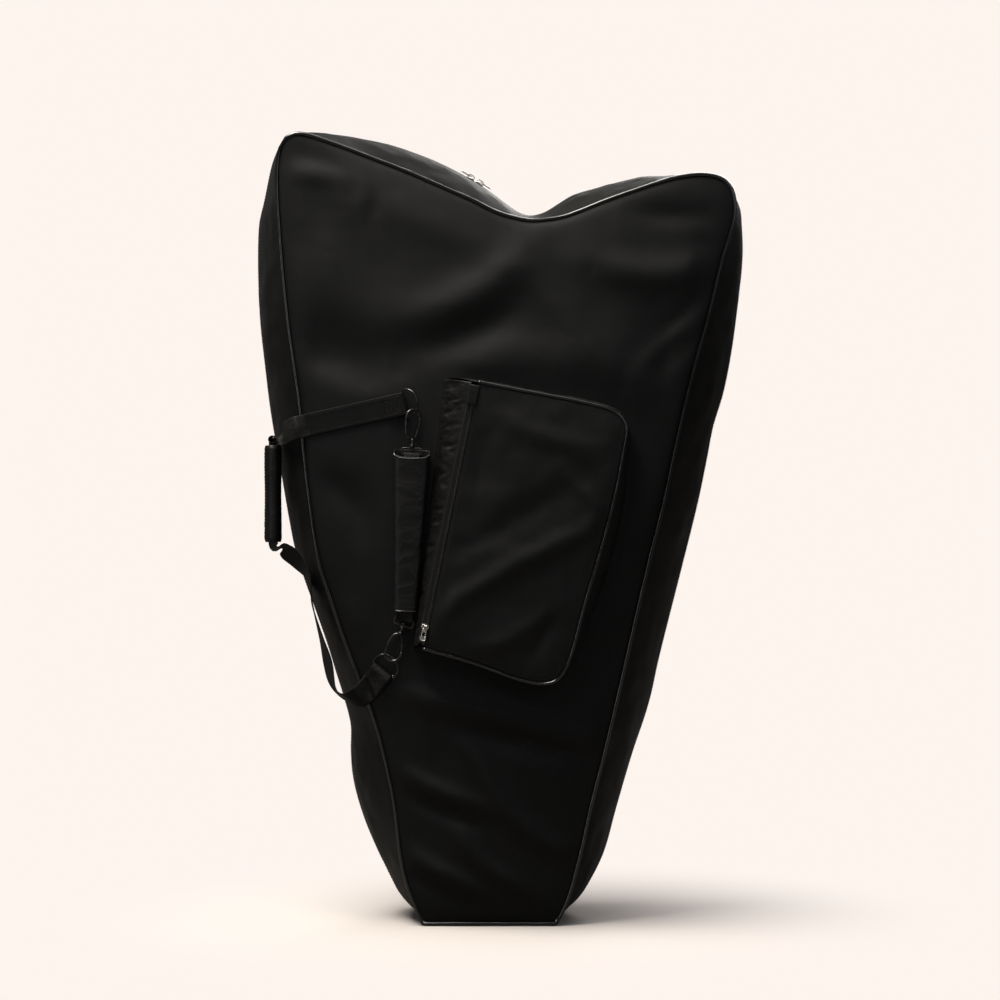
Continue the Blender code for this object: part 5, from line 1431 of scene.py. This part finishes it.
def gripWrap(centre):
    # Leathercloth round the grip: a little narrower at its middle and drawn in at its ends
    around, along = 56, 90
    u, v = np.meshgrid(np.linspace(0, 1, along + 1), np.linspace(0, 2 * math.pi, around + 1), indexing="ij")
    drawnIn = np.exp(-(u / 0.02) ** 2) + np.exp(-((1 - u) / 0.02) ** 2)
    waist = 1 - grip["waist"] * np.exp(-((u - 0.5) / 0.22) ** 2) - grip["ends"] * drawnIn
    ring = np.stack([np.cos(v) * grip["width"], np.sin(v) * grip["depth"]], -1) * waist[..., None]
    normal = unit(np.stack([np.cos(v) / grip["width"], np.sin(v) / grip["depth"]], -1))
    place = np.stack([np.cos(v) * 0.8, np.sin(v) * 0.8, u * 11], -1)
    ring = ring + normal * (wander(place, 3.0, 7.7, 4) * grip["crease"])[..., None]
    points = np.stack([centre[0] + ring[..., 0], centre[1] + ring[..., 1],
                       centre[2] + (u - 0.5) * grip["length"]], -1)
    wrap = newObject(gridMesh(points, metres(points), closed=True), "gripLeather", leatherCloth)
    thicken(wrap, grip["skin"])
    fit(wrap, "handle", "leather", ["grip_wrap"])
    stitches = bmesh.new()
    for turn in (math.radians(168), math.radians(192)):
        line = points[4:-4, int(round(turn / (2 * math.pi) * around))]
        out = np.broadcast_to([math.cos(turn), math.sin(turn), 0.0], line.shape)
        stitchRow(stitches, line, out, **grip["stitch"])
    fit(newObject(stitches, "gripStitching", threadNylon), "handle", "webbing")


def handle():
    centre = onSides(gripCentre)
    band, bandSides = (np.array(column) for column in zip(*[(onSides(a), b) for a, b in handleBandShares]))
    low, lowSides = (np.array(column) for column in zip(*[(onSides(a), b) for a, b in handleLowerShares]))
    freeBand(band, bandSides, places["upperRoot"], places["upperBar"], "handleBandUpper", ["handle_webbing"])
    top = np.array([centre[0], centre[1], band[0][2] + grip["overrun"]])
    foot = centre - np.array([0, 0, grip["length"] / 2 + grip["overrun"]])
    run = np.vstack([[top], [centre], [foot], low])
    freeBand(run, np.vstack([lowSides[:1]] * 3 + [lowSides]), places["lowerRoot"], places["lowerBar"],
             "handleBandLower")

    # The webbing's rolled and stitched end above the grip
    wide, high = grip["roll"]
    middle = np.array([centre[0], centre[1], band[0][2] - grip["rollDrop"]])
    bulb = np.array([middle + (wide * math.cos(a), 0, high * math.sin(a))
                     for a in np.linspace(0, 2 * math.pi, 20)[:-1]])
    section = np.array(bandSection(grip["rollWidth"], grip["rollThickness"]))
    roll = sweep(bulb, arcSides(bulb, (0, 1, 0)), section, closedPath=True)
    fit(newObject(roll, "handleBandRoll", webbingCloth), "handle", "webbing")

    core = copyOf("grip_core", "gripFoam", padFoam, levels=0, soften=0.0006)
    core.data.set_sharp_from_angle(angle=math.radians(40))
    fit(core, "handle", "foam", ["grip_core"])
    gripWrap(centre)


handle()
print("webbing and handle made")


# Strap with its sleeve, eyes and snap hooks

strapSize = {"webbing": 0.0240, "thickness": 0.0018, "tail": 0.0300, "padLength": 0.2390, "padStart": 0.0560,
             "padTravel": 0.0040, "mouthDip": 0.0080, "topWidth": 0.0270, "endWidth": 0.0172,
             "topDepth": 0.0088, "endDepth": 0.0082, "squareness": 0.65, "eyeWidth": 0.0320,
             "eyeHeight": 0.0130, "eyeThickness": 0.0034, "eyeBar": 0.0032, "eyeCorner": 0.0022,
             "sleeve": 0.0016, "crease": 0.0012, "fineCrease": 0.0001, "rim": 0.0009,
             "sleeveStitch": {"pitch": 0.0040, "length": 0.0030},
             "settle": {"slack": 0.004, "cap": 0.002, "bending": 2, "frames": 12}}
hook = {"bow": 0.0115, "wire": 0.0022, "length": 0.0380, "gate": 0.0015, "shank": 0.0042,
        "shankLength": 0.0110, "pin": 0.0016, "pinHead": 0.0028, "pinHeadThickness": 0.0014}


def turnedPiece(profile, count=28):
    # Turned about local Z from pairs of radius and height
    bm = bmesh.new()
    verts = [bm.verts.new((r, 0, z)) for r, z in profile]
    edges = [bm.edges.new(pair) for pair in zip(verts, verts[1:])]
    bmesh.ops.spin(bm, geom=verts + edges, axis=(0, 0, 1), cent=(0, 0, 0), steps=count, angle=2 * math.pi,
                   use_merge=True)
    bmesh.ops.remove_doubles(bm, verts=bm.verts, dist=1e-6)
    bmesh.ops.recalc_face_normals(bm, faces=bm.faces)
    return bm


def hookBow(top, spot, name, body):
    # Round wire from the neck round the crown to the tip that the gate closes on
    reach, length = hook["bow"], hook["length"]
    crown = top + reach
    neck = [(0.0, length), (0.45, length * 0.93), (0.86, length * 0.78), (1.0, length * 0.55),
            (1.0, crown + reach * 0.3)]
    path = [(reach * x, 0, z) for x, z in neck]
    path += [(reach * math.cos(a), 0, crown - reach * math.sin(a)) for a in np.linspace(0, math.pi, 13)]
    path = spline(path + [(-reach, 0, crown + reach * 0.35)], 4)
    tip = Vector(path[-1])
    bow = sweep(path, arcSides(path, (0, 1, 0)), circle(hook["wire"], 14))
    bmesh.ops.create_uvsphere(bow, u_segments=16, v_segments=10, radius=hook["wire"] * 1.12,
                              matrix=Matrix.Translation(tip))
    bmesh.ops.transform(bow, matrix=spot, verts=bow.verts)
    fit(newObject(bow, "hookBow" + name, darkNickel), body, "gunmetal", [body])
    return tip


def hookShank(top, foot, spot, name, body):
    # Turned shank with its swivel pin, whose head sits inside the eye
    r, pin, cap, thickness = hook["shank"], hook["pin"], hook["pinHead"], hook["pinHeadThickness"]
    head = foot + cover["gap"] * 2 + strapSize["eyeBar"]
    shank = turnedPiece([
        (0, top - 0.001), (r * 0.55, top - 0.0008), (r * 0.86, top), (r, top + r * 0.3),
        (r * 0.98, top + r * 0.6), (r * 0.76, top + r * 0.9), (r * 0.72, top + r * 1.3),
        (r * 0.80, foot - r * 0.7), (r * 1.0, foot - r * 0.45), (r * 1.02, foot - r * 0.15), (r * 0.90, foot),
        (pin, foot), (pin, head), (cap, head), (cap * 1.02, head + 0.0006), (cap * 0.8, head + thickness),
        (0, head + thickness * 1.05)])
    bmesh.ops.transform(shank, matrix=spot, verts=shank.verts)
    piece = newObject(shank, "hookShank" + name, darkNickel)
    piece.data.set_sharp_from_angle(angle=math.radians(60))
    fit(piece, body, "gunmetal")


def hookGate(tip, foot, spot, name, body):
    # Sprung bar with a thumb stud
    top = tip + (foot - tip).normalized() * (cover["gap"] * 2)
    bar = spline([top, top.lerp(foot, 0.35) + Vector((-0.0006, 0, 0)),
                  top.lerp(foot, 0.7) + Vector((-0.0005, 0, 0)), foot], 6)
    gate = sweep(bar, arcSides(bar, (0, 1, 0)), circle(hook["gate"], 12))
    stud = top.lerp(foot, 0.5) + Vector((-0.0016, 0, 0))
    bmesh.ops.create_uvsphere(gate, u_segments=14, v_segments=8, radius=hook["gate"] * 1.15,
                              matrix=Matrix.Translation(stud))
    bmesh.ops.transform(gate, matrix=spot, verts=gate.verts)
    fit(newObject(gate, "hookGate" + name, darkNickel), body, "gunmetal", [body])


def snapHook(label):
    # Returns the hook's place and how far below it the eye's wire starts
    name, body = label.capitalize(), "snap_hook_" + label
    swivel, spring = joints[body + "_swivel"], joints["hook_gate_" + label + "_spring"]
    down = Vector(swivel["axis"]).normalized()
    across = -Vector(spring["axis"]).normalized()
    origin = Vector(swivel["pos_m"]) - down * (hook["length"] + hook["shankLength"])
    spot = frameAt(origin, across.cross(down), across, down)
    packed = [spot.inverted() @ v.co for v in frame["nodes"][body].data.vertices]
    tip = hookBow(min(p.z for p in packed) + hook["wire"], spot, name, body)
    shankTop = hook["length"] - hook["wire"] / 2
    shankFoot = hook["length"] + hook["shankLength"]
    hookShank(shankTop, shankFoot, spot, name, body)
    foot = Vector((-hook["shank"], 0, shankTop - hook["gate"] - cover["gap"] * 2))
    hookGate(tip, foot, spot, name, "hook_gate_" + label)
    return spot, shankFoot + cover["gap"]


def roundedSign(value, power):
    return math.copysign(abs(value) ** power, value)


def eye(spot, label, foot):
    # A rounded rectangle of flattened bar
    wide, high = strapSize["eyeThickness"] / 2, strapSize["eyeBar"] / 2
    half, height = strapSize["eyeWidth"] / 2 - high, strapSize["eyeHeight"] / 2 - high
    corner = strapSize["eyeCorner"]
    path = []
    for k, (x, z) in enumerate(((1, 1), (-1, 1), (-1, -1), (1, -1))):
        for a in np.linspace(0, math.pi / 2, 7):
            turn = k * math.pi / 2 + a
            path.append((x * (half - corner) + corner * math.cos(turn), 0,
                         foot + strapSize["eyeHeight"] / 2 + z * (height - corner) + corner * math.sin(turn)))
    path = np.array(path)
    section = [(roundedSign(math.cos(t), 0.6) * wide, roundedSign(math.sin(t), 0.6) * high)
               for t in np.arange(16) * math.pi / 8 + 0.1]
    bm = sweep(path, arcSides(path, (0, 1, 0)), section, closedPath=True)
    bmesh.ops.transform(bm, matrix=spot, verts=bm.verts)
    fit(newObject(bm, "strapEye" + label.capitalize(), darkNickel), "strap", "gunmetal", ["strap_eye_" + label])
    return foot + strapSize["eyeHeight"] - high


def strapBand(upright, lateral, upperBar, lowerSpot):
    # Webbing through both eyes, with its tails turned back inside the sleeve
    lowerBar = (strapSize["padStart"] + strapSize["padLength"] + strapSize["eyeHeight"] / 2
                + strapSize["padTravel"])
    lowerDown = -lowerSpot.col[2].xyz
    lowerLateral = lowerDown.cross(Vector((0, -1, 0))).normalized()
    lowerFrame = frameAt(upright @ Vector((0, 0, lowerBar)), lowerLateral, lowerDown.cross(lowerLateral),
                         lowerDown)
    radius = (math.hypot(strapSize["eyeThickness"], strapSize["eyeBar"]) / 2 + cover["gap"]
              + strapSize["thickness"] / 2)
    turns = np.linspace(0, math.pi, 13)
    points = [upright @ Vector((0, radius, upperBar + strapSize["tail"]))]
    points += [upright @ Vector((0, radius * math.cos(t), upperBar - radius * math.sin(t))) for t in turns]
    points += [lowerFrame @ Vector((0, -radius * math.cos(t), radius * math.sin(t))) for t in turns]
    points.append(upright @ Vector((0, radius, lowerBar - strapSize["tail"])))
    sides = [lateral] * (len(turns) + 1) + [lowerLateral] * len(turns) + [lateral]
    section = bandSection(strapSize["webbing"], strapSize["thickness"])
    band = newObject(sweep(points, sides, section), "strapBand", webbingCloth)
    fit(band, "strap", "webbing", ["strap_webbing"])


def strapSleeve(upright, down):
    # Padded leathercloth: a flattened tube with a rolled rim and a row of stitches at each end
    around, along = 64, 120
    u, v = np.meshgrid(np.linspace(0, 1, along + 1), np.linspace(0, 2 * math.pi, around + 1), indexing="ij")
    halfWidth = strapSize["topWidth"] + (strapSize["endWidth"] - strapSize["topWidth"]) * u
    halfDepth = strapSize["topDepth"] + (strapSize["endDepth"] - strapSize["topDepth"]) * u
    power = strapSize["squareness"]
    x = np.sign(np.cos(v)) * np.abs(np.cos(v)) ** power * halfWidth
    y = np.sign(np.sin(v)) * np.abs(np.sin(v)) ** power * halfDepth
    place = np.stack([np.cos(v) * 0.7, np.sin(v) * 0.4, u * 7], -1)
    crease = np.abs(wander(place, 1.1, 3.0, 2)) * strapSize["crease"]
    crease = crease + wander(place, 5.0, 1.0) * strapSize["fineCrease"]
    crease = crease * np.sin(math.pi * np.clip(u, 0.02, 0.98)) ** 0.3
    outward = unit(np.stack([x / halfWidth ** 2, y / halfDepth ** 2], -1))
    x, y = x - outward[..., 0] * crease, y - outward[..., 1] * crease
    # The mouth is cut lower in front, so that it shows as an oval
    mouth = strapSize["mouthDip"] * np.exp(-(u / 0.06) ** 2) * np.clip(-np.sin(v), -0.4, 1)
    z = strapSize["padStart"] + strapSize["padLength"] * u + mouth
    matrix = np.array(upright)
    points = np.stack([x, y, z], -1) @ matrix[:3, :3].T + matrix[:3, 3]
    sleeve = newObject(gridMesh(points, metres(points), closed=True), "strapSleeve", leatherCloth)
    local = (coordinates(sleeve) - matrix[:3, 3]) @ matrix[:3, 2]
    ends = np.minimum(local - strapSize["padStart"], strapSize["padStart"] + strapSize["padLength"] - local)
    relax(sleeve, 1 - 0.75 * smoothStep(ends, 0.001, 0.020), **strapSize["settle"])
    thicken(sleeve, strapSize["sleeve"], 1)
    fit(sleeve, "strap_pad", "leather", ["strap_pad"])
    for name, row in (("sleeveRimTop", 1), ("sleeveRimEnd", along - 1)):
        ring = points[row, :-1]
        sides = np.cross(np.roll(ring, -1, 0) - np.roll(ring, 1, 0), np.array(down))
        rim = sweep(ring, sides, circle(strapSize["rim"], 8), closedPath=True)
        fit(newObject(rim, name, pipingCloth), "strap_pad", "leather")
    tree = surfaceOf(sleeve)
    stitches = bmesh.new()
    for row in (4, along - 4):
        middle = upright @ Vector((0, 0, strapSize["padStart"] + strapSize["padLength"] * row / along))
        spots, normals = onNearest(tree, points[row, :-1], lambda p: p - middle)
        stitchRow(stitches, spots, normals, **strapSize["sleeveStitch"])
    fit(newObject(stitches, "sleeveStitching", threadNylon), "strap_pad", "webbing")


def strap():
    down = Vector(joints["strap_pad_travel"]["axis"])
    lateral = down.cross(Vector((0, -1, 0))).normalized()
    upright = frameAt(Vector(joints["strap_swing"]["pos_m"]), lateral, down.cross(lateral), down)
    upperBar = eye(upright, "upper", snapHook("upper")[1])
    lowerSpot, foot = snapHook("lower")
    eye(lowerSpot, "lower", foot)
    strapBand(upright, lateral, upperBar, lowerSpot)
    strapSleeve(upright, down)
    foam = copyOf("strap_foam", "sleeveFoam", padFoam, levels=1, soften=0.001, shrink=0.0014)
    fit(foam, "strap_pad", "foam", ["strap_foam"])


strap()
print("strap made")


# Stage

backdrop = "fdf4ee"
view = {"place": (0.0073, -4.63, 0.65), "target": (0.0073, -0.13, 0.6396), "lens": 108.2}
# Name, place, target, size, power and tint; the key light comes from above, so that folds and seam cords
# catch it on their upper sides
stageLights = [
    ("keyLight", (-1.0, -0.6, 3.3), (0, -0.1, 0.7), (1.9, 1.3), 215, "fffaf2"),
    ("sideLight", (-2.4, -2.8, 0.7), (0, -0.1, 0.5), (0.4, 1.2), 9, "f4f7ff"),
    ("fillLight", (1.6, -3.4, 1.9), (0, -0.1, 0.6), (1.4, 1.6), 12, "f4f7ff"),
    ("backLight", (0.9, 3.2, 2.3), (0, 0.1, 0.6), (1.6, 1.2), 55, "fffdfa"),
    ("glintLight", (-0.9, -3.0, 2.7), (0, -0.1, 0.7), (0.3, 0.3), 9, "ffffff"),
    ("topLight", (0.3, 0.2, 3.4), (0, 0, 0.9), (1.8, 1.2), 20, "ffffff")]


def stageLight(name, spot, target, size, power, tint):
    data = bpy.data.lights.new(name, "AREA")
    data.shape = "RECTANGLE"
    data.size, data.size_y = size
    data.energy = power
    data.color = colour(tint)[:3]
    lamp = bpy.data.objects.new(name, data)
    bpy.context.collection.objects.link(lamp)
    lamp.location = spot
    lamp.rotation_euler = (Vector(target) - Vector(spot)).to_track_quat("-Z", "Y").to_euler()


def stageFloor():
    # It takes the shadow near the cover and melts into the backdrop further off
    made, tree, shader = newMaterial("paleFloor", {"Roughness": 0.9, "Specular IOR Level": 0.1})
    output = tree.nodes["Material Output"]
    far = addNode(tree, "ShaderNodeEmission", {"Color": colour(backdrop), "Strength": 1.0})
    place = addNode(tree, "ShaderNodeTexCoord")
    reach = addNode(tree, "ShaderNodeVectorMath", {"operation": "LENGTH"}, {0: place.outputs["Object"]})
    fade = addNode(tree, "ShaderNodeMapRange", {"interpolation_type": "SMOOTHSTEP", "From Min": 0.10,
                                                "From Max": 0.70}, {"Value": reach.outputs["Value"]})
    # Only the camera sees the floor's glow, so that it lights nothing
    seen = addNode(tree, "ShaderNodeLightPath").outputs["Is Camera Ray"]
    glow = mathNode(tree, "MULTIPLY", fade.outputs[0], seen)
    tint = addNode(tree, "ShaderNodeMix", {"data_type": "RGBA", 6: colour("6e6a66")}, {0: seen})
    tint.inputs[7].default_value = colour(backdrop, 0.56)
    tree.links.new(tint.outputs[2], shader.inputs["Base Color"])
    mix = addNode(tree, "ShaderNodeMixShader", links={0: glow, 1: shader.outputs[0], 2: far.outputs[0]})
    tree.links.new(mix.outputs[0], output.inputs["Surface"])
    bm = bmesh.new()
    bmesh.ops.create_circle(bm, cap_ends=True, segments=64, radius=14)
    newObject(bm, "floor", made)


def stageWorld():
    # The camera sees the backdrop, and the cover gets a weak white light from all round
    world = bpy.data.worlds.new("studio")
    scene.world = world
    world.use_nodes = True
    tree = world.node_tree
    tree.nodes.clear()
    path = addNode(tree, "ShaderNodeLightPath")
    soft = addNode(tree, "ShaderNodeBackground", {"Color": colour("ffffff"), "Strength": 0.10})
    seen = addNode(tree, "ShaderNodeBackground", {"Color": colour(backdrop), "Strength": 1.0})
    mix = addNode(tree, "ShaderNodeMixShader", links={0: path.outputs["Is Camera Ray"], 1: soft.outputs[0],
                                                      2: seen.outputs[0]})
    addNode(tree, "ShaderNodeOutputWorld", links={"Surface": mix.outputs[0]})


def stageCamera():
    data = bpy.data.cameras.new("camera")
    data.sensor_width = 36
    data.lens = view["lens"]
    camera = bpy.data.objects.new("camera", data)
    bpy.context.collection.objects.link(camera)
    camera.location = view["place"]
    camera.rotation_euler = (Vector(view["target"]) - camera.location).to_track_quat("-Z", "Y").to_euler()
    scene.camera = camera
    scene.view_settings.view_transform = "Standard"


stageFloor()
stageWorld()
for light in stageLights:
    stageLight(*light)
stageCamera()
print("stage made")
